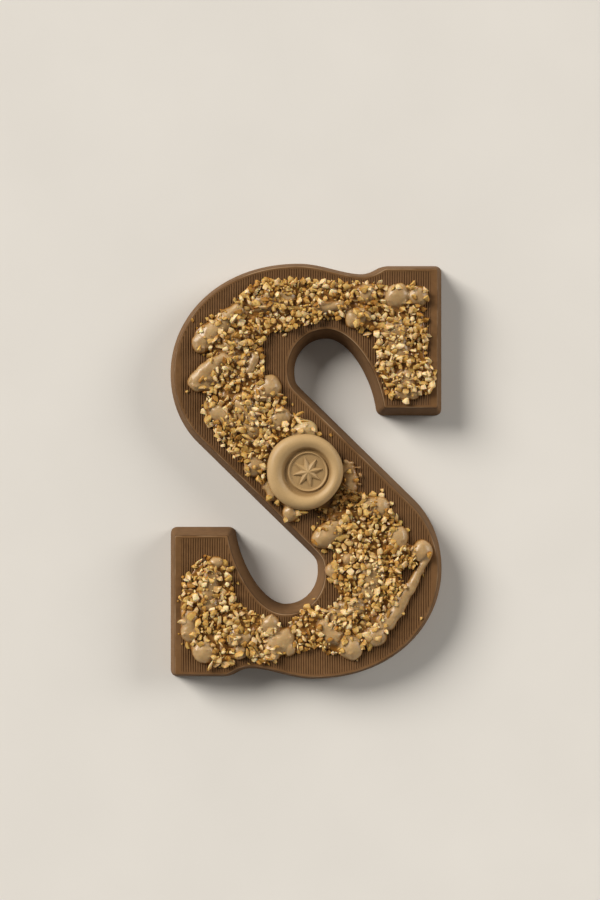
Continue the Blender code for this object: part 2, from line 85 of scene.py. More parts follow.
RIB_CREST = 0.02
RIB_DEPTH = 0.36
RIB_STEPS = 8
RIB_POWER = 2.4
RIB_CROSS_CUTS = 16
SHARP_ANGLE = 50.0

# Half of the face's outline in millimetres and degrees, as the solids have it
Knot = namedtuple("Knot", "x y heading back ahead sharp", defaults=(False,))
HALF_OUTLINE = (
    Knot(-52.7, -25.5, 0, 0, 0, True),
    Knot(-31.3, -25.5, -83, 0, 12.5, True),
    Knot(-8.2, -57, 0, 12, 8.8),
    Knot(7.5, -40.8, 90, 9, 5.4),
    Knot(3, -30.8, 135.7, 4.6, 0),
    Knot(-42.2, 13.4, 135.7, 0, 7),
    Knot(-52.8, 40, 90, 13, 22),
    Knot(-3, 82.3, 0, 31, 9),
    Knot(22.6, 78, 0, 8, 4),
    Knot(31.7, 81.3, 32, 2.5, 0, True),
    Knot(52.7, 81.3, 0, 0, 0, True),
)

# Topping outlines in millimetres, smooth closed loops through these points
UPPER_CRUST = (
    (27.6, 55), (28.2, 41), (31.4, 33.5), (36.5, 28.6), (43.5, 29), (50, 33), (51.4, 39.5), (47.6, 47.5),
    (48.8, 56.5), (46.4, 64), (49, 70), (47, 74.6), (36, 74.8), (27, 75.6), (10, 76), (-8, 76.2), (-20, 75),
    (-30, 67), (-39.6, 61), (-45, 55), (-44.6, 49), (-38.5, 47.4), (-45.6, 39), (-46.2, 33), (-38, 31),
    (-41.6, 25.6), (-37.2, 17.6), (-31.6, 8.6), (-23.4, 2), (-21, -0.8), (-15, -5), (0, -6), (2, 8), (3.4, 18.6),
    (-1, 22.2), (-7.6, 25.2), (-9.8, 34), (-16.4, 38.6), (-17.6, 52), (-8, 56.8), (2.4, 59.2), (9, 61.4),
    (16.4, 60), (21, 57),
)
LOWER_CRUST = (
    (12, 2.6), (18.2, 2.2), (20.6, -1.4), (20.4, -8.6), (28, -9.6), (34, -15.4), (38, -22.4), (41, -28),
    (45, -29.4), (44, -36.6), (40.4, -38), (37.9, -39.4), (38.4, -43.4), (41.6, -45.4), (38.6, -53.2), (34, -62.2),
    (30, -69.4), (22, -71), (15.6, -74), (8, -71.6), (1, -70.4), (-6, -72.4), (-12, -75.2), (-19, -76.4),
    (-26, -74), (-34, -78.4), (-42, -75.4), (-47.6, -69.6), (-50.4, -60), (-49.8, -48), (-45.2, -38.4),
    (-37, -34.4), (-30.2, -39.6), (-29, -51), (-22, -56), (-13.8, -58.8), (-7.6, -61.4), (0.4, -54.8), (7.6, -54.8),
    (13.4, -50), (9.2, -42), (11.2, -33.4), (8, -31), (2.8, -28), (3.2, -22), (8, -18.4), (2, -14.6), (-5, -18.2),
    (-9.2, -14.6), (-14, -11.2), (-17.4, -6), (-8, 2),
)

# Caramel in millimetres. Waves and warps are pairs of a scale and a size.
LOOP_STEPS = 6
MASS_INSET = 0.7
MASS_FOOT = 14.2
MASS_HEIGHT = 15.2
MASS_VOXEL = 0.34
MASS_SMOOTHING = 4
MASS_RATIO = 0.42
MASS_WAVES = ((3.2, 0.3), (1.1, 0.07))
WAVE_RAMP = 1.2
MASS_WARP = ((7.0, 1.0), (2.6, 0.35))
WARP_LEVELS = (11.3, 57.9)
LOBE_RISE = 1.2

# Chips that the caramel covers: over the layer, on the lobes and at chosen places
COATED_SEED = 5
COATED_COUNT = 420
COATED_ON_LOBE = 4
COATED_SIZE = (0.7, 1.25)
COATED_TILT = 0.6
COATED_INSET = 0.6
COATED_RISE = 0.1
COATED_SHARES = (0.35, 0.85)
COATED_SUNK = 0.25
EXTRA_RISE = 0.4
COATED_EXTRA = (
    (20.6, 1.4), (21.5, -1.4), (20.8, -5), (15.8, 3.6), (18.4, 3.2), (-16.4, -4.4), (-15.2, -6.8), (-13.4, -9),
    (-15.6, -9.4), (-12.6, -11), (-17.2, -6.4), (5, 15.4), (-24.4, 3.2), (-22.6, -1.6),
)

# Smooth lobes and strands in millimetres: chains of x, y, radius and top height over the face
LOBES = (
    ((-42.3, 51.1, 3.6, 2.4), (-36.6, 56.8, 4.1, 2.7), (-27, 64.5, 3, 2.1)),
    ((-43.6, 35.9, 3.8, 2.6), (-37.6, 42.8, 3.6, 2.6), (-33, 45.6, 2.4, 2.2), (-26, 44.6, 2.4, 2.1)),
    ((-40.4, 35.8, 3.3, 2.3), (-35.4, 40.6, 2.4, 2)), ((-22.9, 40.4, 2.4, 2.4), (-20.8, 45.8, 2.3, 2.4)),
    ((-14.2, 34, 5, 3.1), (-18.5, 31, 3.6, 2.4)), ((-9.5, 21.6, 3.7, 2.6), (-14, 19, 3, 2.2)),
    ((-35.3, 23.7, 3.9, 2.6), (-30, 19, 3, 2)), ((-3.2, 16.2, 3.4, 2.4), (0.6, 17.2, 4, 3)),
    ((-20.4, 1.8, 4.3, 2.8),), ((36.4, 70.2, 5.2, 3.2),), ((44.4, 69.8, 4, 2.8),),
    ((18.6, 61.1, 3.9, 2.7), (24, 63.5, 3, 2.2)), ((3.5, 64.9, 2.4, 2), (13.7, 66.5, 2.7, 2.2)),
    ((39.5, 31.6, 3.4, 2.3), (40, 38, 3.6, 2)), ((37.6, 31.4, 2.9, 2.1), (43, 31.2, 2.8, 2)),
    ((16.6, 0.8, 3.2, 1.4), (18, -2.8, 3, 1.3), (17.2, -6.8, 2.8, 1.5)),
    ((7.1, -26.1, 5, 3.3), (12.4, -22.8, 3.4, 2.3)), ((37, -25.6, 4.3, 3.1), (35.8, -30, 3.3, 2.5)),
    ((46.2, -32, 4.5, 2.9),),
    ((48, -34.4, 1.9, 1.8), (45.4, -39.4, 1.6, 1.6), (42, -44.9, 2.1, 1.9), (39.2, -49.6, 2.5, 2.1),
     (36.6, -54.2, 3.1, 2.4), (32.6, -59.9, 3.9, 2.7)),
    ((27.8, -65.5, 4.7, 2.9),), ((17.9, -70.1, 5.1, 3.1),), ((10.8, -65.6, 4.3, 2.9), (7.1, -61.6, 3.3, 2.6)),
    ((-7.6, -66, 4, 2.7), (-11, -68.4, 4.8, 3)), ((-14, -72, 4, 2.6),), ((-6.6, -70.6, 3.2, 2.2),),
    ((-14.7, -61.2, 3.8, 2.8),), ((-46.2, -64.4, 3.7, 2.3), (-46.6, -57.8, 3.4, 2)), ((-41.1, -71.8, 4.6, 2.9),),
    ((10.6, -39.4, 3.1, 2.6),), ((16.6, -34.9, 2.7, 2.5),), ((-5.8, -16.6, 3.4, 2.4),),
    ((-15.4, -5, 2.2, 1.9), (-14, -9.4, 2.4, 1.9)), ((29.6, -14.2, 4.2, 2.7), (25, -13.6, 3.4, 2.2)),
    ((12, -57, 3.4, 2), (20, -54, 4, 2.2)), ((26, -40, 5, 2.2), (24, -48, 5, 2.2)),
    ((-38, -42, 3.6, 2.2), (-40, -52, 4.4, 2)), ((-28, -66, 4, 2.2), (-24.2, -66, 3.6, 2.3)),
    ((-26, -71.8, 3.4, 2),), ((-36.4, -36.9, 3.2, 2.1),), ((24, 70.8, 4.3, 2.3),),
    ((35, 58, 4.4, 2), (37, 48, 4.4, 2)), ((-8, 70, 4.2, 2), (-18, 67, 4.2, 2)), ((-30, 51, 4, 2.1),),
    ((-25, 27, 4.6, 2.3), (-22, 17, 4.6, 2.2)),
)

# Bald spots in millimetres: places on the lobes where no nuts lie, as x, y, radius
BALD = (
    (-41.6, 51.8, 3.8), (-37.8, 55.8, 3.6), (-43.2, 37, 3.9), (-39.4, 41.2, 3.4), (-35.5, 44.4, 2.2),
    (-39.8, 36.4, 2.6), (-35.6, 40.6, 2.1), (-22.4, 41.4, 2.5), (-21.2, 45, 2.3), (-13, 34.8, 4.4),
    (-8.8, 21.9, 3.2), (-35.9, 24.1, 3), (-1.2, 18.2, 3.4), (1, 18.4, 3.6), (-20.6, 2.4, 3.4), (36.4, 70.4, 5.2),
    (44.2, 70, 3.7), (17.4, 61.2, 3.2), (6.6, 65.3, 2.1), (10.6, 66.2, 2.6), (16.8, 1.4, 3.3), (18.4, -2.4, 3),
    (17.6, -5.6, 1.9), (6.2, -27, 4.2), (38.2, -26.2, 3.6), (47, -31.6, 3.7), (47.6, -36.2, 2.2), (46, -39.4, 2.2),
    (44.2, -42.6, 2.2), (42.2, -45.8, 2.3), (39.8, -49.2, 2.5), (37.8, -52.4, 2.6), (35.4, -56, 2.8),
    (33.4, -59.4, 2.6), (28.8, -66.1, 3.7), (18.2, -71, 4), (11, -66.4, 4.1), (7.2, -62, 2.5), (-8.4, -66.8, 4.2),
    (-12.2, -69.8, 3.9), (-6.4, -71, 2), (-14.9, -60.9, 2.5), (-46.7, -64, 3.6), (-46.9, -57.8, 3.3),
    (-41.6, -71.4, 4), (9.4, -38.6, 2.2), (16, -34.4, 1.9), (-7.2, -15.6, 2.6), (40, 32.4, 1.8), (37.8, 30.8, 1.8),
    (43.2, 30.6, 1.9), (-14.6, -6.8, 2.4), (-14, -10, 1.9), (-38, -66, 1.8), (-24, -66, 2.7), (-34.6, -70.6, 1.5),
    (-26.4, -71.8, 2.9), (-49, -53, 1.6), (-33.8, 47.2, 1.6), (36.5, 64.4, 1.6), (41, 31.4, 2), (24.4, 70.2, 2.7),
    (-29.6, 64.6, 2.3), (30.2, -14.2, 2.3), (15.8, -35.6, 2), (-36.2, -36.4, 1.9), (-18.4, 67, 1.6),
    (-8, 69.6, 1.5), (-26, 52.4, 1.6), (26.6, -40.4, 1.6), (22, -52.4, 1.6), (-27.4, 27, 1.7), (-20, 16, 1.6),
    (37.4, 47.6, 1.5), (-39.4, -53, 1.6), (20.6, -22.6, 1.5),
)

# Stray crumbs on the bare ribs, in millimetres
STRAYS = (
    (-47.7, 31.9), (-40.9, 46.7), (-40.5, -33.7), (-44.1, -37.7), (-49.3, -42.1), (-51.2, -51.8), (-50.7, -65),
    (46.7, -41.3), (38.7, -56.5), (22.3, -70.5), (20.3, -75.3), (42.3, 30.3), (5.1, -18), (-5.4, 26.9), (9.8, 14.6),
    (-23, -76.8), (-8.6, 54.6), (24.6, 54), (-49.6, -68.8), (-27.4, -44.6), (-45.4, 60.6), (3, -50.8), (46, -58.6),
    (30.4, -7.4),
)

# Nut chips in millimetres and radians. A kind has its share of all chips, its smallest and largest radius, and
# the colours of its darkest and lightest chips and of its skin.
Kind = namedtuple("Kind", "name share radii dark light skin")
CHIP_KINDS = (
    Kind("nuts_pale", 0.3, (0.7, 2.2), (0.66, 0.47, 0.21), (0.92, 0.77, 0.49), (0.54, 0.32, 0.09)),
    Kind("nuts_golden", 0.48, (0.7, 2.15), (0.51, 0.33, 0.1), (0.71, 0.5, 0.195), (0.44, 0.22, 0.035)),
    Kind("nuts_toasted", 0.22, (0.65, 1.9), (0.36, 0.19, 0.042), (0.54, 0.32, 0.09), (0.26, 0.11, 0.015)),
)
PALE, GOLDEN = 0, 1
CHIP_SEED = 11

# How chips are scattered: their spacing, how many places are tried, and how far they keep from the seal
Layer = namedtuple("Layer", "spacing tries gap")
FIRST_LAYER = Layer(2.0, 60000, 0.6)
SECOND_LAYER = Layer(2.9, 14000, 1.0)
FLAKES = Layer(8.0, 6000, 1.2)
CRUMBS = Layer(1.25, 16000, 0.4)
CLUMP_SCALE = 7.0
CLUMP_SHARE = 0.45
CLUMP_LEVEL = 3.0

# Places, as x, y, radius, where pale chips are likelier, and where darker chips are likelier and darkened as a
# painted shadow of the seal
PALE_PLACES = (
    (37, 48, 10), (41, 38, 10), (36, 60, 8), (23, -33, 7.5), (26, -42, 6), (18, -20.5, 5), (-33, -40, 6),
    (-13.6, -63, 6), (9, -57, 6), (-19, 11, 7),
)
PALE_LEAN = 0.5
# Painted shadow of the seal: darker chips and darkened colour in these places
SEAL_SHADOW_PLACES = ((12.5, -10, 5.5), (18, -7.5, 4.5), (9, -15.5, 4.5))
SEAL_SHADOW_LEAN = 0.45

# Chip forms: the spans of length, width and height, as shares of the radius
CHUNK = ((0.95, 1.4), (0.8, 1.05), (0.55, 0.85))
WEDGE = ((0.95, 1.35), (0.7, 1.0), (0.5, 0.8))
SPLINTER = ((1.35, 1.8), (0.5, 0.7), (0.4, 0.6))
SLICE = ((1.1, 1.45), (0.85, 1.1), (0.32, 0.5))
CHIP_FORMS = (CHUNK, CHUNK, WEDGE, WEDGE, SPLINTER, SLICE)
FLAKE_FORMS = (
    ((1.3, 1.7), (0.5, 0.7), (0.26, 0.4)),
    ((0.95, 1.3), (0.7, 0.95), (0.28, 0.42)),
)
POINT_COUNTS = (6, 9)
POINT_TURN = 2.39996
POINT_SWING = 0.35
POINT_SHIFT = 0.12
POINT_REACH = (0.84, 1.2)
CHIP_ROUNDING = 0.07
CHIP_SHARP_ANGLE = 32.0

# How chips lie, in millimetres, radians and shares of a radius, and which sizes the later ones have
PILE_CELL = 3.0
RAY_HEIGHT = 40.0
CHIP_PACKING = 0.75
CHIP_FLATNESS = 0.5
CHIP_TILT = 0.5
CHIP_SUNK = 0.35
CHIP_TOP = 19.6
EDGE_SPREAD = 0.3
SECOND_SIZE = 0.85
FLAKE_SIZE = (1.2, 1.7)
FLAKE_GOLDEN = 0.3
CRUMB_SIZE = (0.32, 0.68)
CRUMB_GAP = 0.95
STRAY_SIZE = (0.5, 0.9)
BORDER_WIDTH = 1.5
BORDER_BALDNESS = 1.45
BALD_CHIPS = 0.01

# The largest chips in millimetres and degrees: x, y, length, width, heading, and the kind's place in CHIP_KINDS
BIG_CHIPS = (
    (17.6, -18.6, 5.6, 2, 72, 0), (14, -20.2, 3.5, 2.5, 60, 0), (15.9, -25.7, 3.6, 2.2, -10, 1),
    (20.9, -33.4, 3.5, 2.6, 100, 0), (26.8, -33.6, 4.7, 2.3, -35, 0), (30.8, -33.4, 3.4, 2.2, -40, 1),
    (35.2, -33.4, 2.8, 2.2, 20, 0), (30.8, -22.5, 3.1, 2.1, 65, 0), (26, -21.7, 2.9, 2.1, 70, 0),
    (34.1, -17.9, 4.4, 1.9, -15, 1), (22.6, -18.6, 2.3, 2.1, 30, 0), (25.6, -16.5, 2.3, 1.7, 80, 0),
    (30.2, -9.6, 2.6, 2.3, 0, 0), (26.6, -9.1, 3.4, 2.6, 0, 1), (34.1, -12.7, 2.2, 1.8, 0, 0),
    (41, -37, 4, 1.8, -65, 0), (40.8, -31.8, 3.4, 1.9, -70, 1), (49, -33, 3, 2.2, 70, 2),
    (33.3, -30.3, 3.2, 2.3, 10, 2), (18.4, -31.5, 3, 2.4, 30, 2), (12.8, -31.6, 2.4, 2.3, 0, 0),
    (24.7, -39.7, 3.4, 2.1, 80, 0), (19.9, -40.4, 2.1, 1.7, 45, 0), (11.9, -43.9, 2.6, 2.2, 0, 0),
    (35.8, -46.2, 3.6, 2.6, -20, 0), (30, -44.1, 3.8, 2.1, -30, 0), (40.4, -23.2, 2.1, 1.7, 0, 1),
    (2.9, -22.5, 2.3, 2.2, 0, 1), (7.3, -31.8, 3, 1.8, 0, 1), (-30.8, -60.2, 3.5, 2.5, -15, 0),
    (-33.2, -47.6, 3.3, 2.3, -40, 0), (-49.4, -59.8, 3.6, 2, -10, 0), (-40.3, -71.7, 3.2, 2.6, -35, 0),
    (-36, -77, 4.2, 2.2, 20, 0), (-19, -66.5, 4.6, 1.9, -70, 0), (-17.4, -75.4, 3.6, 2, -30, 2),
    (-20.6, -75.2, 2.6, 2, 0, 0), (-37.2, -51.5, 2.9, 2.1, 60, 0), (-43.9, -55.5, 3.6, 2.4, 60, 0),
    (-48.6, -53.9, 3.8, 2.3, 80, 1), (23.7, -64.6, 3.6, 2.1, 20, 0), (-2.4, -61, 2.8, 2.6, 0, 0),
    (35.6, -52.3, 2.8, 2.7, 0, 0), (0.4, -53.9, 3, 2.6, 0, 1), (-28.5, -68.1, 3.2, 2.1, 60, 0),
    (-8.5, 18.9, 3.2, 2.7, 45, 0), (-21, 49.9, 3.2, 2.4, 0, 1), (-25.5, 21.5, 3.2, 1.9, 80, 1),
    (-15, 29, 2.6, 1.9, 75, 0), (-22.2, 38.8, 3, 2.1, -60, 0), (31.6, 54.7, 3.6, 1.9, -35, 0),
    (48.8, 54.3, 3.2, 1.8, -15, 0), (51, 37.4, 2.7, 2.4, 0, 0), (-7.1, 61, 2.8, 2.6, 30, 0),
    (7.9, 74, 3.2, 1.9, 0, 0), (24.5, 55.1, 3.6, 1.8, 20, 0), (26.9, 61.8, 2.3, 2.2, 0, 0),
    (-35.2, 34.1, 4, 2, 20, 0), (42.3, 61, 2.5, 1.9, 70, 0), (-14.6, 66.5, 3, 2, 60, 2), (-5, 16.4, 2.3, 1.7, 0, 1),
    (-2.2, 16.2, 2.4, 2, 0, 0), (2.8, 16.9, 2.3, 1.5, -50, 0), (5.1, 15.1, 2.6, 1.7, -30, 1),
    (-23.4, 1.2, 2.7, 2.2, -70, 1), (-18.4, 0.1, 3, 1.8, 10, 1), (-23.1, -1.1, 2, 1.7, 0, 1),
    (-15.8, 11.2, 3.6, 2.5, 40, 0), (-22.4, 8.7, 2.7, 2.6, 0, 1), (-16.1, 17.2, 2.3, 2.1, 0, 0),
    (-11.1, 17.1, 2.2, 1.8, 0, 0), (19.9, -3.3, 2.3, 1.8, 0, 2), (-40.9, 24, 3.4, 2.3, -50, 0),
    (-8.3, -19, 2.3, 2.1, 0, 0), (-3.6, -19.4, 2.4, 1.6, 20, 1), (9.8, -15.2, 2.3, 1.9, 0, 2),
)
BIG_HEIGHT = (0.45, 0.6)
BIG_FULLNESS = 1.25
BIG_LIFT = 0.4
BIG_TILT = 0.22

# Seal in millimetres. Its foot's rings are heights, each with how far the outline is pulled in.
SEAL_CENTRE = (-0.7, 0.1)
SEAL_RADIUS = 15.2
SEAL_WOBBLE = 0.012
SEAL_RIPPLE = 0.006
SEAL_SEAT = 16.2
SEAL_HEIGHT = 4.75
SEAL_SWAY = 0.12
RECESS_RADIUS = 9.9
RECESS_WOBBLE = 0.01
RECESS_SHIFT = (0.85, -0.15)
RECESS_FLOOR = 1.75
WALL_WIDTH = 1.15
WALL_TOP = 3.55
CREST_PLACE = 0.46
SEAL_EDGE = 1.3
MARK_SHIFT = (1.4, -0.1)
RING_RADIUS = 7.6
RING_REACH = 0.45 * 1.5
RING_RISE = 0.75
SEAL_SEGMENTS = 240
SEAL_TOP_RINGS = [i / 110 for i in range(1, 108)] + [0.978, 0.984, 0.989, 0.993, 0.996, 0.998, 0.9993]
SEAL_TOP_INSET = 0.02
SEAL_FOOT_RINGS = ((1.55, 0.0), (0.9, 0.05), (0.35, 0.35), (0.0, 0.9))
SEAL_SHARP_ANGLE = 70.0
STAR_POINTS = 8
STAR_RADIUS = 6.3
STAR_WAIST = 2.9
STAR_RISE = 0.42
STAR_PEAK = 1.45
STAR_FLANK = 0.1

# The seal's groove, which gets painted shade: how far outside the recess's and the ring's radius it starts, and
# over what width
TRENCH_OUTER = (0.7, 1.3)
TRENCH_INNER = (0.15, 0.5)

# Colours in linear red, green and blue; tones and grains are pairs, and grains and shades multiply a colour
MILK_TONES = ((0.104, 0.053, 0.0215), (0.138, 0.073, 0.0315))
MILK_GRAIN = ((0.9, 0.9, 0.9), (1.07, 1.06, 1.05))
# Painted shade darkens the rib grooves and a painted highlight lightens the rib crests
GROOVE_PAINTED_SHADE = (0.42, 0.38, 0.34)
CREST_PAINTED_HIGHLIGHT = (1.35, 1.36, 1.38)
# Painted light: the side walls are made lighter than the face
SIDE_PAINTED_LIGHT = (1.3, 1.36, 1.44)
# A painted highlight along the slab's top edge
EDGE_PAINTED_HIGHLIGHT = (0.32, 0.215, 0.125)
CARAMEL_TONES = ((0.35, 0.22, 0.098), (0.49, 0.33, 0.16))
CARAMEL_GRAIN = ((0.93, 0.92, 0.9), (1.05, 1.05, 1.04))
# Painted shade for the caramel low down between the chips
CARAMEL_PAINTED_SHADE = (0.24, 0.1, 0.012)
CREAM_COLOUR = (0.52, 0.38, 0.185)
SEAL_TONES = ((0.43, 0.288, 0.138), (0.475, 0.322, 0.157))
SEAL_GRAIN = ((0.96, 0.96, 0.95), (1.03, 1.03, 1.02))
# Painted shade for the seal's recess
RECESS_PAINTED_SHADE = (0.25, 0.148, 0.056)
# Painted shade for the seal's groove
SEAL_GROOVE_PAINTED_SHADE = (0.22, 0.125, 0.045)
NUT_GRAIN = ((0.88, 0.85, 0.8), (1.05, 1.05, 1.04))
# Painted shade on the lower part of each chip
UNDERSIDE_PAINTED_SHADE = (0.62, 0.4, 0.13)
# Painted shadow of the seal on the chips
SEAL_PAINTED_SHADOW = (0.44, 0.41, 0.4)
FLOOR_TONES = ((0.70, 0.69, 0.675), (0.74, 0.73, 0.715))

# Where the looks change: heights over the back, distances from the creamy place, heights on a chip, and shares
RIB_FADE = ((SLAB_HEIGHT - RIB_DEPTH) * MM, (SLAB_HEIGHT - 0.06) * MM)
SIDE_FADE = (13.6 * MM, 14.05 * MM)
SIDE_ROUGHNESS = (0.7, 0.7, 0.7)
CARAMEL_SHADE_FADE = (15.15 * MM, 16.4 * MM)
CREAM_PLACE = (0.0 * MM, 18.0 * MM, 17.4 * MM)
CREAM_FADE = (3.6 * MM, 5.6 * MM)
CREAM_SHARE = 0.8
RECESS_SHADE_FADE = ((SEAL_SEAT + RECESS_FLOOR) * MM, (SEAL_SEAT + RECESS_FLOOR + 1.6) * MM)
RECESS_SHADE_SHARE = 0.45
SEAL_GROOVE_SHADE_SHARE = 0.6
UNDERSIDE_SHADE_FADE = (0.25, 0.95)

# Studio: the floor in metres, its drop in millimetres, and lights with place, strength and colour. The sky's
# strength falls between two heights, the first two numbers of SKY_FADE, from the third to the fourth.
FLOOR_HALF = 6.0
FLOOR_DROP = 0.05
LIGHT_ANGLE = 30.0
LIGHTS = (
    ("key", (-1.85, 1.36, 1.48), 3.8, (1.0, 0.94, 0.85)),
    ("side", (2.05, 0.8, 1.12), 1.45, (1.0, 0.95, 0.87)),
)
SKY_COLOUR = (1.0, 0.95, 0.87, 1.0)
SKY_FADE = (0.28, 0.5, 0.62, 0.1)


def shade(target, angle):
    """Smooth shading that keeps the edges sharper than an angle in degrees."""
    target.data.shade_smooth()
    target.data.set_sharp_from_angle(angle=math.radians(angle))
    return target


def new_object(name, data):
    """An object for a mesh, light or camera, linked into the scene."""
    made = bpy.data.objects.new(name, data)
    bpy.context.scene.collection.objects.link(made)
    return made


def object_from_bmesh(name, bm):
    """Turns a bmesh into an object in the scene."""
    mesh = bpy.data.meshes.new(name)
    bm.to_mesh(mesh)
    bm.free()
    return new_object(name, mesh)


def bridge(bm, lower, upper):
    """Joins two rings of vertices by a band of faces."""
    for index in range(len(lower)):
        after = (index + 1) % len(lower)
        bm.faces.new((lower[index], lower[after], upper[after], upper[index]))


def add_hull(bm, points):
    """Adds the convex hull of some points."""
    made = bmesh.ops.convex_hull(bm, input=[bm.verts.new(point) for point in points])
    bmesh.ops.delete(bm, geom=made["geom_interior"], context="VERTS")


def bake(target):
    """Replaces an object's mesh by the mesh with its modifiers applied."""
    bpy.context.view_layer.update()
    evaluated = target.evaluated_get(bpy.context.evaluated_depsgraph_get())
    mesh = bpy.data.meshes.new_from_object(evaluated)
    target.modifiers.clear()
    target.data = mesh


def dress(piece, material, slot, *nodes):
    """A finished piece: its material, body and the solids that it stands for; the slot is not used."""
    piece.data.materials.clear()
    piece.data.materials.append(material)
    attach(piece, BODY)
    if nodes:
        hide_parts(*nodes)


# Outline

def handle(knot, length):
    """The end of a knot's handle, at a signed length along its heading."""
    angle = math.radians(knot.heading)
    return Vector((knot.x + length * math.cos(angle), knot.y + length * math.sin(angle), 0.0))


def outline_stretch(start, end):
    """Points from one knot up to, but not with, the next: a straight side or a curve."""
    first = handle(start, 0.0)
    last = handle(end, 0.0)
    if start.ahead == 0.0 and end.back == 0.0:
        return [first]
    steps = max(CURVE_LEAST_STEPS, round((last - first).length / CURVE_STEP))
    curve = interpolate_bezier(first, handle(start, start.ahead), handle(end, -end.back), last, steps + 1)
    return curve[:-1]


def raw_outline():
    """The closed outline with its corners still sharp, clockwise, and the corners' places in it."""
    other = tuple(k._replace(x=-k.x, y=-k.y, heading=k.heading + 180.0) for k in HALF_OUTLINE)
    knots = HALF_OUTLINE + other
    points = []
    corners = set()
    for knot, after in zip(knots, knots[1:] + knots[:1]):
        if knot.sharp:
            corners.add(len(points))
        points += outline_stretch(knot, after)
    return points, corners


def outline_at(distance):
    """The outline moved outwards, with corners rounded more the further out it is, anticlockwise."""
    points, corners = raw_outline()
    moved = []
    for index, point in enumerate(points):
        to_here = (point - points[index - 1]).normalized()
        from_here = (points[(index + 1) % len(points)] - point).normalized()
        normal_a = Vector((-to_here.y, to_here.x, 0.0))
        normal_b = Vector((-from_here.y, from_here.x, 0.0))
        moved.append(point + (normal_a + normal_b) * (distance / (1.0 + normal_a.dot(normal_b))))
    size = max(CORNER_LEAST, CORNER_SIZE + CORNER_GROWTH * distance)
    outline = []
    for index, point in enumerate(moved):
        if index not in corners:
            outline.append(point)
            continue
        back = (moved[index - 1] - point).normalized() * size
        ahead = (moved[(index + 1) % len(moved)] - point).normalized() * size
        for step in range(CORNER_STEPS + 1):
            t = step / CORNER_STEPS
            outline.append(point + back * (1 - t) ** 2 + ahead * t ** 2)
    outline.reverse()
    return outline


def rib_drop(x):
    """How far the ribbed face lies under the slab's top at a place across the ribs."""
    if abs(x) >= RIBS_HALF - RIBS_SLACK:
        return 0.0
    share = x / RIB_PITCH % 1.0
    return RIB_CREST + (RIB_DEPTH - RIB_CREST) * abs(2.0 * share - 1.0) ** RIB_POWER


def cut_face(bm, faces, places, axis):
    """Cuts the faces by planes across an axis; every plane works only on what lies beyond the last."""
    direction = Vector((1.0, 0.0, 0.0)) if axis == 0 else Vector((0.0, 1.0, 0.0))
    done = []
    rest = list(faces)
    for place in places:
        beyond = {f for f in rest if max(v.co[axis] for v in f.verts) > place + 1e-7}
        done += [f for f in rest if f not in beyond]
        geometry = beyond.union(*(f.verts for f in beyond), *(f.edges for f in beyond))
        cut = bmesh.ops.bisect_plane(
            bm, geom=list(geometry), dist=1e-8, plane_co=direction * place, plane_no=direction
        )
        found = [g for g in cut["geom"] if isinstance(g, bmesh.types.BMFace) and g.is_valid]
        rest = [f for f in found if f.calc_center_bounds()[axis] > place]
        done += [f for f in found if f.calc_center_bounds()[axis] <= place]
    return done + rest


def make_slab():
    """The ribbed chocolate slab."""
    bm = bmesh.new()
    # The edge rings are marked for a painted highlight
    edge = bm.verts.layers.float.new("edge")
    rings = [[bm.verts.new((p.x, p.y, z)) for p in outline_at(distance)] for z, distance in SIDE_LEVELS]
    for vert in (v for ring in rings[slice(*EDGE_RINGS)] for v in ring):
        vert[edge] = 1.0
    for lower, upper in zip(rings, rings[1:]):
        bridge(bm, lower, upper)
    bm.faces.new(rings[0][::-1])
    face = bm.faces.new(rings[-1])
    across = [i * RIB_PITCH / RIB_STEPS - RIBS_HALF for i in range(RIB_COUNT * RIB_STEPS + 1)]
    across = [-RIBS_HALF - RIBS_BORDER] + across + [RIBS_HALF + RIBS_BORDER]
    strips = cut_face(bm, [face], across, 0)
    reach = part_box("letter")[1].y / MM
    along = [reach * (2.0 * i / RIB_CROSS_CUTS - 1.0) for i in range(1, RIB_CROSS_CUTS)]
    strips = cut_face(bm, strips, along, 1)
    for vert in {v for f in strips for v in f.verts}:
        vert.co.z = SLAB_HEIGHT - rib_drop(vert.co.x)
    bmesh.ops.recalc_face_normals(bm, faces=bm.faces)
    bmesh.ops.scale(bm, vec=(MM, MM, MM), verts=bm.verts)
    return shade(object_from_bmesh("ribbed_slab", bm), SHARP_ANGLE)


# Topping

def smooth_loop(loop):
    """A closed smooth curve through the points, as a list of x, y."""
    count = len(loop)
    curve = []
    for index in range(count):
        before, start, end, after = (Vector((*loop[(index + k) % count], 0.0)) for k in (-1, 0, 1, 2))
        out_handle = start + (end - before) / 6.0
        in_handle = end - (after - start) / 6.0
        curve += interpolate_bezier(start, out_handle, in_handle, end, LOOP_STEPS + 1)[:-1]
    return [(p.x, p.y) for p in curve]


def inset_loop(loop, distance):
    """A closed loop moved inwards by a distance along its points' normals."""
    area = sum(a[0] * b[1] - b[0] * a[1] for a, b in zip(loop, loop[1:] + loop[:1]))
    side = 1.0 if area > 0.0 else -1.0
    moved = []
    for index, point in enumerate(loop):
        run = (Vector(loop[(index + 1) % len(loop)]) - Vector(loop[index - 1])).normalized()
        moved.append((point[0] - side * distance * run.y, point[1] + side * distance * run.x))
    return moved


def inside(x, y, loops):
    """Whether a place lies in one of the closed loops."""
    for loop in loops:
        hit = False
        for (x0, y0), (x1, y1) in zip(loop, loop[1:] + loop[:1]):
            if (y0 > y) != (y1 > y) and x < x0 + (y - y0) * (x1 - x0) / (y1 - y0):
                hit = not hit
        if hit:
            return True
    return False


def is_within(x, y, places, growth=1.0):
    """Whether a place lies in one of the round places, each x, y, radius."""
    return any(math.hypot(x - px, y - py) < radius * growth for px, py, radius in places)


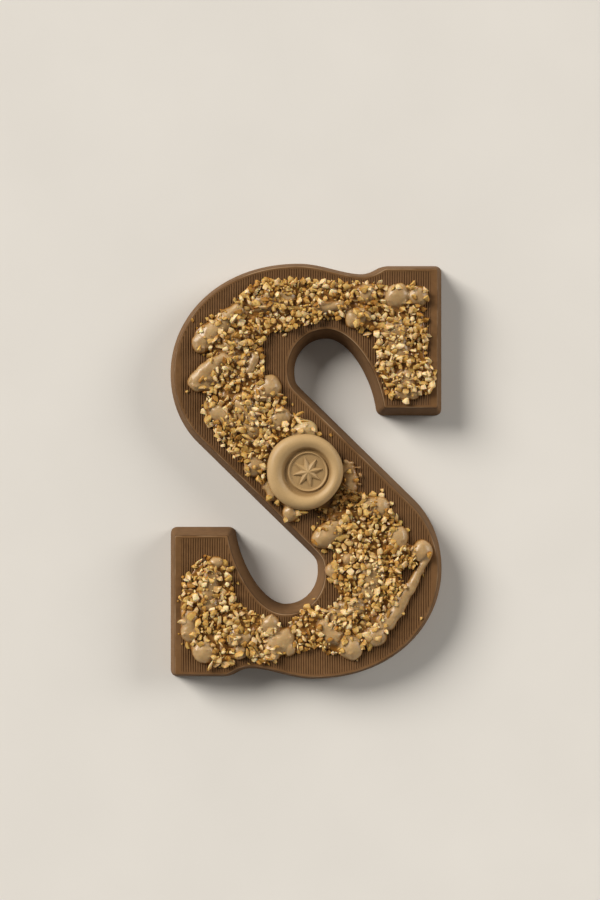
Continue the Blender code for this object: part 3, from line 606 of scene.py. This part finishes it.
def spans_of(loops):
    """The lowest and highest x, and the lowest and highest y, of closed loops."""
    return [(min(values), max(values)) for values in zip(*(point for loop in loops for point in loop))]


def add_layer(bm, loop, low, high):
    """A closed flat layer between two heights, within a loop."""
    lower = [bm.verts.new((x, y, low)) for x, y in loop]
    upper = [bm.verts.new((x, y, high)) for x, y in loop]
    bridge(bm, lower, upper)
    bm.faces.new(lower[::-1])
    bm.faces.new(upper)


def add_lobe(bm, links):
    """The convex hull of one or two flattened balls, as x, y, radius, height."""
    hull = bmesh.new()
    for x, y, radius, height in links:
        made = bmesh.ops.create_icosphere(hull, subdivisions=3, radius=1.0)
        bmesh.ops.scale(hull, vec=(radius, radius, height * LOBE_RISE), verts=made["verts"])
        bmesh.ops.translate(hull, vec=(x, y, SLAB_HEIGHT), verts=made["verts"])
    if len(links) > 1:
        points = [vert.co.copy() for vert in hull.verts]
        hull.clear()
        add_hull(hull, points)
    mesh = bpy.data.meshes.new("hull")
    hull.to_mesh(mesh)
    hull.free()
    bm.from_mesh(mesh)
    bpy.data.meshes.remove(mesh)


def add_coated(bm, rng, x, y, z):
    """A chip that the caramel covers: a soft bump once it has melted in."""
    turn = Matrix.Rotation(rng.uniform(0.0, math.tau), 3, "Z")
    turn = turn @ Matrix.Rotation(rng.uniform(-COATED_TILT, COATED_TILT), 3, "X")
    place = Vector((x, y, z))
    add_hull(bm, [turn @ point + place for point in chip_shape(rng, rng.uniform(*COATED_SIZE), CHIP_FORMS)])


def add_coated_chips(bm, loops):
    """Coated chips over the layer, at some chosen places, and a few on the sides of each lobe."""
    rng = random.Random(COATED_SEED)
    cores = [inset_loop(loop, MASS_INSET + COATED_INSET) for loop in loops]
    spans = spans_of(cores)
    placed = 0
    while placed < COATED_COUNT:
        x, y = (rng.uniform(*span) for span in spans)
        if inside(x, y, cores):
            add_coated(bm, rng, x, y, MASS_HEIGHT + COATED_RISE)
            placed += 1
    for x, y in COATED_EXTRA:
        add_coated(bm, rng, x, y, MASS_HEIGHT + EXTRA_RISE)
    for x, y, radius, height in (link for chain in LOBES for link in chain):
        for _ in range(COATED_ON_LOBE):
            angle, share = rng.uniform(0.0, math.tau), rng.uniform(*COATED_SHARES)
            z = SLAB_HEIGHT + height * LOBE_RISE * math.sqrt(1.0 - share ** 2) - COATED_SUNK
            add_coated(bm, rng, x + radius * share * math.cos(angle), y + radius * share * math.sin(angle), z)


def make_mass(loops):
    """The caramel under and between the nuts: layer, lobes and strands melted into one smooth body."""
    bm = bmesh.new()
    for loop in loops:
        add_layer(bm, inset_loop(loop, MASS_INSET), MASS_FOOT, MASS_HEIGHT)
    for chain in LOBES:
        for links in list(zip(chain, chain[1:])) or [(chain[0],)]:
            add_lobe(bm, links)
    add_coated_chips(bm, loops)
    bmesh.ops.recalc_face_normals(bm, faces=bm.faces)
    mass = object_from_bmesh("caramel", bm)
    melt = mass.modifiers.new("melt", "REMESH")
    melt.mode = "VOXEL"
    melt.voxel_size = MASS_VOXEL
    soften = mass.modifiers.new("soften", "SMOOTH")
    soften.iterations = MASS_SMOOTHING
    soften.factor = 0.5
    bake(mass)
    bm = bmesh.new()
    bm.from_mesh(mass.data)
    for vert in bm.verts:
        vert.co.z = max(vert.co.z, MASS_FOOT)
        x, y = vert.co.xy
        for scale, size in MASS_WARP:
            for axis, level in enumerate(WARP_LEVELS):
                vert.co[axis] += size * noise.noise(Vector((x, y, level)) / scale)
        if vert.co.z <= MASS_FOOT:
            continue
        lift = sum(size * noise.noise(vert.co / scale) for scale, size in MASS_WAVES)
        vert.co.z += lift * min(1.0, (vert.co.z - MASS_FOOT) / WAVE_RAMP)
    bmesh.ops.scale(bm, vec=(MM, MM, MM), verts=bm.verts)
    bm.to_mesh(mass.data)
    bm.free()
    thin = mass.modifiers.new("thin", "DECIMATE")
    thin.ratio = MASS_RATIO
    bake(mass)
    mass.data.shade_smooth()
    return mass


class Grid:
    """Things in square cells, to find those near a place. A thing starts with its x and y."""

    def __init__(self, cell):
        self.cell = cell
        self.cells = {}

    def square(self, x, y):
        """The column and row of a place."""
        return math.floor(x / self.cell), math.floor(y / self.cell)

    def add(self, thing):
        """Remembers a thing."""
        self.cells.setdefault(self.square(*thing[:2]), []).append(thing)

    def near(self, x, y):
        """Things in the cells round a place."""
        column, row = self.square(x, y)
        for i in (column - 1, column, column + 1):
            for j in (row - 1, row, row + 1):
                yield from self.cells.get((i, j), ())

    def is_free(self, x, y, spacing):
        """Whether nothing is nearer than the spacing."""
        return all(math.hypot(x - thing[0], y - thing[1]) >= spacing for thing in self.near(x, y))


Chip = namedtuple("Chip", "x y z radius kind forms heading")


class Pile(Grid):
    """Chips that lie on the mass and on each other."""

    def __init__(self, surface):
        super().__init__(PILE_CELL)
        self.surface = surface
        self.chips = []

    def drop(self, x, y, radius, kind, forms, heading=None):
        """Lets a chip down until it rests, a little sunk, and remembers it. Only big chips have a heading."""
        hit = self.surface.ray_cast(Vector((x, y, RAY_HEIGHT)) * MM, Vector((0.0, 0.0, -1.0)))
        z = max(hit[0].z / MM if hit[0] else 0.0, SLAB_HEIGHT - RIB_CREST) + radius * CHIP_SUNK
        if heading is not None and z > MASS_HEIGHT:
            z += BIG_LIFT
        for other in self.near(x, y):
            touch = (radius + other.radius) * CHIP_PACKING
            apart = math.hypot(x - other.x, y - other.y)
            if apart < touch:
                z = max(z, other.z + CHIP_FLATNESS * math.sqrt(touch ** 2 - apart ** 2))
        if z + radius > CHIP_TOP:
            return
        chip = Chip(x, y, z, radius, kind, forms, heading)
        self.add(chip)
        self.chips.append(chip)


def chip_shape(rng, radius, forms):
    """One chopped chip: a few points spread over an uneven block."""
    size = Vector([rng.uniform(*span) for span in rng.choice(forms)]) * radius
    points = []
    count = rng.randint(*POINT_COUNTS)
    start = rng.uniform(0.0, math.tau)
    for index in range(count):
        height = 1.0 - 2.0 * (index + 0.5) / count + rng.uniform(-POINT_SHIFT, POINT_SHIFT)
        height = max(-1.0, min(1.0, height))
        angle = start + index * POINT_TURN + rng.uniform(-POINT_SWING, POINT_SWING)
        ring = math.sqrt(1.0 - height ** 2)
        point = Vector((ring * math.cos(angle) * size.x, ring * math.sin(angle) * size.y, height * size.z))
        points.append(point * rng.uniform(*POINT_REACH))
    return points


def chip_hull(points, rounding):
    """The hull of some points with its edges taken off, as a bmesh."""
    hull = bmesh.new()
    add_hull(hull, points)
    bmesh.ops.bevel(
        hull, geom=list(hull.edges), offset=rounding, offset_type="OFFSET", segments=1, profile=0.6,
        affect="EDGES", clamp_overlap=True,
    )
    bmesh.ops.remove_doubles(hull, verts=hull.verts, dist=1e-4)
    bmesh.ops.recalc_face_normals(hull, faces=hull.faces)
    return hull


def chip_mesh(name, chips, rng):
    """All chips of one kind as one mesh, with each vertex's height on its chip, for painted shade low down, and
    whether it lies in the seal's painted shadow, 0 to 1.
    """
    places, faces, lifts, painted_shadows = [], [], [], []
    for x, y, z, radius, _, forms, heading in chips:
        turn = rng.uniform(0.0, math.tau) if heading is None else heading
        lean = CHIP_TILT if heading is None else BIG_TILT
        tilt = Matrix.Rotation(turn, 3, "Z")
        for axis in "XY":
            tilt = tilt @ Matrix.Rotation(rng.uniform(-lean, lean), 3, axis)
        hull = chip_hull([tilt @ point for point in chip_shape(rng, radius, forms)], CHIP_ROUNDING * radius)
        first = len(places)
        # Chips in the seal's shadow places are marked for painted shadow
        painted_shadows += [float(is_within(x, y, SEAL_SHADOW_PLACES))] * len(hull.verts)
        hull.verts.index_update()
        for vert in hull.verts:
            places.append((vert.co + Vector((x, y, z))) * MM)
            # The height on the chip, for painted shade on its lower part
            lifts.append(max(0.0, min(1.0, 0.5 + vert.co.z / radius)))
        faces += [[first + vert.index for vert in face.verts] for face in hull.faces]
        hull.free()
    mesh = bpy.data.meshes.new(name)
    mesh.from_pydata(places, [], faces)
    for label, values in (("lift", lifts), ("painted_shadow", painted_shadows)):
        mesh.attributes.new(label, "FLOAT", "POINT").data.foreach_set("value", values)
    return shade(new_object(name, mesh), CHIP_SHARP_ANGLE)


def choose_kind(rng, x, y):
    """A kind of chip, by its share; the lean favours the first kind in pale places, the last in the places of the
    seal's painted shadow.
    """
    pick = rng.random()
    if is_within(x, y, PALE_PLACES):
        pick *= PALE_LEAN
    # Darker kinds where the seal's shadow is painted
    if is_within(x, y, SEAL_SHADOW_PLACES):
        pick = 1.0 - (1.0 - pick) * SEAL_SHADOW_LEAN
    for index, kind in enumerate(CHIP_KINDS):
        pick -= kind.share
        if pick < 0.0:
            return index
    return PALE


def scatter(loops, rng, layer):
    """Seeded random places in the nutted areas, apart but clumped, off the big chips, bald spots and seal."""
    spans = spans_of(loops)
    cores = [inset_loop(loop, BORDER_WIDTH) for loop in loops]
    grid = Grid(layer.spacing * (1.0 + CLUMP_SHARE))
    for chip in BIG_CHIPS:
        grid.add(chip)
    placed = []
    for _ in range(layer.tries):
        x, y = (rng.uniform(*span) for span in spans)
        clump = noise.noise(Vector((x, y, CLUMP_LEVEL)) / CLUMP_SCALE)
        if not grid.is_free(x, y, layer.spacing * (1.0 + CLUMP_SHARE * clump)):
            continue
        if math.hypot(x - SEAL_CENTRE[0], y - SEAL_CENTRE[1]) < SEAL_RADIUS + layer.gap:
            continue
        if not inside(x, y, loops):
            continue
        growth = 1.0 if inside(x, y, cores) else BORDER_BALDNESS
        if is_within(x, y, BALD, growth) and rng.random() > BALD_CHIPS:
            continue
        grid.add((x, y))
        placed.append((x, y))
    return placed


def make_nuts(mass, loops):
    """The chopped nuts: big chips, a dense first layer, a looser second one, flakes, crumbs and strays."""
    rng = random.Random(CHIP_SEED)
    bm = bmesh.new()
    bm.from_mesh(mass.data)
    pile = Pile(BVHTree.FromBMesh(bm))
    bm.free()
    wide = [inset_loop(loop, -EDGE_SPREAD) for loop in loops]
    first = scatter(wide, rng, FIRST_LAYER)
    second = scatter(loops, rng, SECOND_LAYER)
    for x, y, length, width, heading, kind in BIG_CHIPS:
        radius = 0.5 * math.sqrt(length * width)
        spans = [(BIG_FULLNESS * 0.5 * size / radius,) * 2 for size in (length, width)]
        pile.drop(x, y, radius, kind, ((*spans, BIG_HEIGHT),), math.radians(heading))
    sized = []
    for place in first:
        kind = choose_kind(rng, *place)
        sized.append((rng.triangular(*CHIP_KINDS[kind].radii), *place, kind))
    for radius, x, y, kind in sorted(sized, reverse=True):
        pile.drop(x, y, radius, kind, CHIP_FORMS)
    for x, y in second:
        kind = choose_kind(rng, x, y)
        pile.drop(x, y, rng.triangular(*CHIP_KINDS[kind].radii) * SECOND_SIZE, kind, CHIP_FORMS)
    for x, y in scatter(loops, rng, FLAKES):
        kind = GOLDEN if rng.random() < FLAKE_GOLDEN else PALE
        if pile.is_free(x, y, FIRST_LAYER.spacing):
            pile.drop(x, y, rng.uniform(*FLAKE_SIZE), kind, FLAKE_FORMS)
    for x, y in scatter(wide, rng, CRUMBS):
        kind = choose_kind(rng, x, y)
        if pile.is_free(x, y, CRUMB_GAP):
            pile.drop(x, y, rng.uniform(*CRUMB_SIZE), kind, CHIP_FORMS)
    for x, y in STRAYS:
        kind = choose_kind(rng, x, y)
        pile.drop(x, y, rng.uniform(*STRAY_SIZE), kind, CHIP_FORMS)
    kinds = enumerate(CHIP_KINDS)
    return [chip_mesh(kind.name, [c for c in pile.chips if c.kind == index], rng) for index, kind in kinds]


# Seal

def bump_step(value):
    """A smooth rise from 0 to 1."""
    value = max(0.0, min(1.0, value))
    return value * value * (3.0 - 2.0 * value)


def fall_off(share, start, end, slope):
    """A smooth fall between two heights that starts with a slope and ends level."""
    share = max(0.0, min(1.0, share))
    return start + (end - start) * share * share * (3.0 - 2.0 * share) + slope * share * (1.0 - share) ** 2


def star_gauge(x, y):
    """Distance from the middle as a share of the star's own radius in that direction."""
    sector = math.pi / STAR_POINTS
    angle = (math.atan2(y, x) - 0.5 * sector) % (2.0 * sector)
    angle = min(angle, 2.0 * sector - angle)
    tip = Vector((STAR_RADIUS, 0.0))
    dent = Vector((STAR_WAIST * math.cos(sector), STAR_WAIST * math.sin(sector)))
    edge = dent - tip
    ray = Vector((math.cos(angle), math.sin(angle)))
    reach = (tip.x * edge.y - tip.y * edge.x) / (ray.x * edge.y - ray.y * edge.x)
    return math.hypot(x, y) / reach


def seal_swell(angle):
    """The seal's outline at an angle, as a share of its radius."""
    return 1.0 + SEAL_WOBBLE * math.sin(3 * angle + 0.8) + SEAL_RIPPLE * math.sin(5 * angle + 2.0)


def seal_top(x, y):
    """Height of the seal's upper surface over its foot, at a place in its own frame."""
    angle = math.atan2(y, x)
    from_outer = SEAL_RADIUS * seal_swell(angle) - math.hypot(x, y)
    rx, ry = x - RECESS_SHIFT[0], y - RECESS_SHIFT[1]
    recess = RECESS_RADIUS * (1.0 + RECESS_WOBBLE * math.sin(2 * math.atan2(ry, rx) + 0.5))
    from_inner = math.hypot(rx, ry) - recess
    if from_inner > 0.0:
        side = from_inner / (from_inner + from_outer)
        top = SEAL_HEIGHT - SEAL_SWAY + SEAL_SWAY * math.sin(angle * 2 + 1.0)
        if side < CREST_PLACE:
            return WALL_TOP + (top - WALL_TOP) * math.sin(math.pi / 2 * side / CREST_PLACE)
        fall = min(1.0, (side - CREST_PLACE) / (1.0 - CREST_PLACE))
        return SEAL_EDGE + (top - SEAL_EDGE) * math.sqrt(1.0 - fall ** 2)
    slope = (SEAL_HEIGHT - WALL_TOP) * math.pi / 2 / (CREST_PLACE * (from_outer + from_inner))
    floor = fall_off(-from_inner / WALL_WIDTH, WALL_TOP, RECESS_FLOOR, -slope * WALL_WIDTH)
    mx, my = x - MARK_SHIFT[0], y - MARK_SHIFT[1]
    floor += RING_RISE * bump_step(1.0 - abs(math.hypot(mx, my) - RING_RADIUS) / RING_REACH)
    within = 1.0 - star_gauge(mx, my)
    return floor + (bump_step(within / STAR_FLANK) * STAR_RISE + max(0.0, within) * (STAR_PEAK - STAR_RISE))


def seal_trench(x, y):
    """How far a place lies in the groove between the recess's wall and the ring, 0 to 1; the material paints shade
    there.
    """
    recess = math.hypot(x - RECESS_SHIFT[0], y - RECESS_SHIFT[1])
    mark = math.hypot(x - MARK_SHIFT[0], y - MARK_SHIFT[1])
    within = bump_step((RECESS_RADIUS + TRENCH_OUTER[0] - recess) / TRENCH_OUTER[1])
    return within * bump_step((mark - RING_RADIUS - TRENCH_INNER[0]) / TRENCH_INNER[1])


def make_seal():
    """The pressed seal: a fine polar net over its top, a rolled edge and a flat foot."""
    bm = bmesh.new()
    trench = bm.verts.layers.float.new("trench")
    angles = [math.tau * index / SEAL_SEGMENTS for index in range(SEAL_SEGMENTS)]
    middle = bm.verts.new((0.0, 0.0, seal_top(0.0, 0.0)))
    rings = []
    for share in SEAL_TOP_RINGS:
        rings.append([])
        for angle in angles:
            reach = (SEAL_RADIUS - SEAL_TOP_INSET) * seal_swell(angle) * share
            x, y = reach * math.cos(angle), reach * math.sin(angle)
            vert = bm.verts.new((x, y, seal_top(x, y)))
            vert[trench] = seal_trench(x, y)
            rings[-1].append(vert)
    for z, pull in SEAL_FOOT_RINGS:
        rings.append([])
        for angle in angles:
            reach = SEAL_RADIUS * seal_swell(angle) - pull
            rings[-1].append(bm.verts.new((reach * math.cos(angle), reach * math.sin(angle), z)))
    for index in range(SEAL_SEGMENTS):
        after = (index + 1) % SEAL_SEGMENTS
        bm.faces.new((middle, rings[0][index], rings[0][after]))
        for inner, outer in zip(rings, rings[1:]):
            bm.faces.new((inner[index], outer[index], outer[after], inner[after]))
    bm.faces.new(rings[-1][::-1])
    bmesh.ops.recalc_face_normals(bm, faces=bm.faces)
    bmesh.ops.translate(bm, vec=(*SEAL_CENTRE, SEAL_SEAT), verts=bm.verts)
    bmesh.ops.scale(bm, vec=(MM, MM, MM), verts=bm.verts)
    return shade(object_from_bmesh("pressed_seal", bm), SEAL_SHARP_ANGLE)


# Materials

class Net:
    """The shader nodes of a material or world."""

    def __init__(self, owner):
        owner.use_nodes = True
        self.tree = owner.node_tree

    def put(self, node, inputs):
        """Fills a node's inputs, each from another node's socket or with a value."""
        for name, value in inputs.items():
            if isinstance(value, bpy.types.NodeSocket):
                self.tree.links.new(value, node.inputs[name])
            else:
                node.inputs[name].default_value = value

    def node(self, kind, inputs=None, **settings):
        """A node with its inputs and settings."""
        made = self.tree.nodes.new(kind)
        for key, value in settings.items():
            setattr(made, key, value)
        self.put(made, inputs or {})
        return made

    def spread(self, value, low, high, to_low=1.0, to_high=0.0):
        """Maps a value from one range to another."""
        inputs = {"Value": value, "From Min": low, "From Max": high, "To Min": to_low, "To Max": to_high}
        return self.node("ShaderNodeMapRange", inputs).outputs["Result"]


class Look(Net):
    """A material whose colour, roughness and bump come from procedural nodes."""

    def __init__(self, name):
        self.material = bpy.data.materials.new(name)
        super().__init__(self.material)
        self.shader = self.tree.nodes["Principled BSDF"]
        self.place = self.node("ShaderNodeTexCoord").outputs["Object"]

    def noise(self, size, detail):
        """Noise with features of about a size in millimetres, 0 to 1."""
        inputs = {"Vector": self.place, "Scale": 1.0 / (size * MM), "Detail": detail, "Roughness": 0.5}
        return self.node("ShaderNodeTexNoise", inputs).outputs["Fac"]

    def ramp(self, value, *colours, start=0.0, end=1.0):
        """Runs from one colour at the start of a value's range to another at its end."""
        made = self.node("ShaderNodeValToRGB", {"Fac": value})
        for element, place, colour in zip(made.color_ramp.elements, (start, end), colours):
            element.position = place
            element.color = (*colour, 1.0)
        return made.outputs["Color"]

    def blend(self, share, first, second, mode="MIX"):
        """Mixes two colours, each a socket or a plain colour, by a share."""
        first, second = ((*side, 1.0) if isinstance(side, tuple) else side for side in (first, second))
        inputs = {0: share, 6: first, 7: second}
        return self.node("ShaderNodeMix", inputs, data_type="RGBA", blend_type=mode).outputs[2]

    def times(self, first, second):
        """Multiplies two colours or numbers."""
        return self.blend(1.0, first, second, "MULTIPLY")

    def mottle(self, size, detail, tones, start=0.3, end=0.7):
        """Noise that runs from the first of two tones to the second."""
        return self.ramp(self.noise(size, detail), *tones, start=start, end=end)

    def waver(self, size, detail, low, high, start=0.3, end=0.7):
        """Noise that runs from a low to a high number."""
        return self.spread(self.noise(size, detail), start, end, low, high)

    def height(self):
        """The height over the letter's back."""
        return self.node("ShaderNodeSeparateXYZ", {"Vector": self.place}).outputs["Z"]

    def attribute(self, name):
        """A number that the mesh holds for each vertex."""
        return self.node("ShaderNodeAttribute", attribute_name=name).outputs["Fac"]

    def relief(self, *bumps):
        """Bumps over each other, each as its size in millimetres, its detail and its depth in millimetres."""
        over = {}
        for size, detail, depth in bumps:
            inputs = {"Strength": 1.0, "Distance": depth * MM, "Height": self.noise(size, detail), **over}
            over = {"Normal": self.node("ShaderNodeBump", inputs).outputs["Normal"]}
        return over["Normal"]

    def glow(self, weight, radius, size):
        """Light that spreads under the surface, over a size in millimetres."""
        inputs = {"Subsurface Weight": weight, "Subsurface Radius": radius, "Subsurface Scale": size * MM}
        self.put(self.shader, inputs)

    def finish(self, colour, roughness, normal, specular):
        """Puts colour, roughness, normal and specular level on the shader."""
        inputs = {"Base Color": colour, "Roughness": roughness, "Normal": normal, "Specular IOR Level": specular}
        self.put(self.shader, inputs)
        return self.material


def milk_chocolate():
    """Satin milk chocolate, mottled, with painted shade in its grooves, a painted highlight on its crests and top
    edges, and painted light on its sides.
    """
    look = Look("milk_chocolate")
    colour = look.times(look.mottle(22.0, 4.0, MILK_TONES), look.mottle(2.4, 3.0, MILK_GRAIN, start=0.35))
    height = look.height()
    # Painted shade in the rib grooves and a painted highlight on the crests, by height
    upper = look.ramp(look.spread(height, *RIB_FADE, 0.0, 1.0), GROOVE_PAINTED_SHADE, CREST_PAINTED_HIGHLIGHT)
    # Painted light: below the face the side walls take the lighter side colour
    side = look.spread(height, *SIDE_FADE)
    colour = look.times(colour, look.blend(side, upper, SIDE_PAINTED_LIGHT))
    # A painted highlight along the top edge, patchy by noise
    edge_highlight = look.times(look.attribute("edge"), look.waver(13.0, 3.0, 0.05, 0.85, start=0.44, end=0.64))
    colour = look.blend(edge_highlight, colour, EDGE_PAINTED_HIGHLIGHT)
    roughness = look.blend(side, look.waver(6.0, 3.0, 0.36, 0.5), SIDE_ROUGHNESS)
    normal = look.relief((1.6, 3.0, 0.03), (9.0, 2.0, 0.12))
    return look.finish(colour, roughness, normal, 0.08)


def caramel():
    """Blond chocolate, glossy where it has set smooth, with painted shade low down between the chips, and creamy in
    one place.
    """
    look = Look("caramel")
    # Painted shade: the caramel darkens low down
    depth = look.spread(look.height(), *CARAMEL_SHADE_FADE)
    colour = look.blend(depth, look.mottle(8.0, 3.0, CARAMEL_TONES), CARAMEL_PAINTED_SHADE)
    away = look.node("ShaderNodeVectorMath", {0: look.place, 1: CREAM_PLACE}, operation="DISTANCE")
    cream = look.spread(away.outputs["Value"], *CREAM_FADE, CREAM_SHARE)
    colour = look.times(look.blend(cream, colour, CREAM_COLOUR), look.mottle(0.9, 2.0, CARAMEL_GRAIN))
    roughness = look.waver(3.0, 3.0, 0.28, 0.42)
    normal = look.relief((0.7, 2.0, 0.02), (3.2, 2.0, 0.1))
    look.glow(0.25, (1.0, 0.5, 0.2), 1.0)
    return look.finish(colour, roughness, normal, 0.5)


def seal_chocolate():
    """Pressed blond chocolate, satin and even, with painted shade in the recess and in its groove."""
    look = Look("seal_chocolate")
    colour = look.times(look.mottle(9.0, 3.0, SEAL_TONES), look.mottle(0.6, 2.0, SEAL_GRAIN))
    # Painted shade low in the recess
    colour = look.blend(look.spread(look.height(), *RECESS_SHADE_FADE, RECESS_SHADE_SHARE), colour, RECESS_PAINTED_SHADE)
    # Painted shade in the groove between the recess's wall and the ring
    groove = look.spread(look.attribute("trench"), 0.0, 1.0, 0.0, SEAL_GROOVE_SHADE_SHARE)
    colour = look.blend(groove, colour, SEAL_GROOVE_PAINTED_SHADE)
    roughness = look.waver(4.0, 3.0, 0.42, 0.54)
    normal = look.relief((0.8, 3.0, 0.015), (5.0, 2.0, 0.08))
    return look.finish(colour, roughness, normal, 0.3)


def nut(kind):
    """Chopped nut: each chip has its own tone, pale broken faces, traces of skin, painted shade on its lower part
    and, in some places, a painted shadow of the seal.
    """
    look = Look(kind.name)
    island = look.node("ShaderNodeNewGeometry").outputs["Random Per Island"]
    colour = look.times(look.ramp(island, kind.dark, kind.light), look.mottle(1.1, 2.0, NUT_GRAIN, end=0.65))
    colour = look.blend(look.waver(1.9, 1.0, 0.0, 0.6, start=0.63), colour, kind.skin)
    # Painted shade: the chip darkens towards its bottom
    underside_shade = look.spread(look.attribute("lift"), *UNDERSIDE_SHADE_FADE)
    colour = look.blend(underside_shade, colour, look.times(colour, UNDERSIDE_PAINTED_SHADE))
    # Painted shadow of the seal on the chips in its shadow places
    colour = look.blend(look.attribute("painted_shadow"), colour, look.times(colour, SEAL_PAINTED_SHADOW))
    roughness = look.waver(1.0, 2.0, 0.42, 0.62)
    normal = look.relief((0.35, 3.0, 0.06))
    look.glow(0.35, (1.0, 0.45, 0.12), 1.0)
    return look.finish(colour, roughness, normal, 0.12)


# Studio

def make_floor():
    """A wide pale matt floor just under the letter, with a hardly visible grain."""
    look = Look("pale_floor")
    colour = look.mottle(60.0, 3.0, FLOOR_TONES, start=0.2, end=0.8)
    roughness = look.waver(20.0, 3.0, 0.75, 0.85, start=0.2, end=0.8)
    bm = bmesh.new()
    bmesh.ops.create_grid(bm, x_segments=8, y_segments=8, size=FLOOR_HALF)
    bmesh.ops.translate(bm, vec=(0.0, 0.0, -FLOOR_DROP * MM), verts=bm.verts)
    floor = object_from_bmesh("studio_floor", bm)
    floor.data.materials.append(look.finish(colour, roughness, look.relief((1.0, 2.0, 0.01)), 0.2))


def add_light(name, place, strength, colour):
    """A soft far light that shines from a place towards the letter."""
    data = bpy.data.lights.new(name, "SUN")
    data.angle = math.radians(LIGHT_ANGLE)
    data.energy = strength
    data.color = colour
    light = new_object(name, data)
    light.location = place
    light.rotation_mode = "QUATERNION"
    light.rotation_quaternion = (-Vector(place)).to_track_quat("-Z", "Y")


def make_studio():
    """Soft key light from the upper left, a weaker one from the right, and a surrounding pale near the floor."""
    for light in LIGHTS:
        add_light(*light)
    world = bpy.data.worlds.new("studio")
    net = Net(world)
    upward = net.node("ShaderNodeSeparateXYZ", {"Vector": net.node("ShaderNodeTexCoord").outputs["Generated"]})
    strength = net.spread(upward.outputs["Z"], *SKY_FADE)
    net.put(net.tree.nodes["Background"], {"Color": SKY_COLOUR, "Strength": strength})
    bpy.context.scene.world = world
    bpy.context.scene.view_settings.view_transform = "Standard"


def make_camera():
    """The camera, straight above."""
    data = bpy.data.cameras.new("camera")
    data.lens = CAMERA_LENS
    data.sensor_width = CAMERA_SENSOR
    data.clip_start, data.clip_end = CAMERA_CLIP
    camera = new_object("camera", data)
    camera.location = (*PICTURE_CENTRE, CAMERA_HEIGHT)
    bpy.context.scene.camera = camera


def build():
    """Makes everything."""
    make_camera()
    dress(make_slab(), milk_chocolate(), "milk_chocolate", "letter")
    loops = [smooth_loop(UPPER_CRUST), smooth_loop(LOWER_CRUST)]
    mass = make_mass(loops)
    nuts = make_nuts(mass, loops)
    dress(mass, caramel(), "blond_chocolate", "topping")
    for piece, kind in zip(nuts, CHIP_KINDS):
        dress(piece, nut(kind), "hazelnut")
    dress(make_seal(), seal_chocolate(), "seal_chocolate", "seal")
    make_floor()
    make_studio()


build()
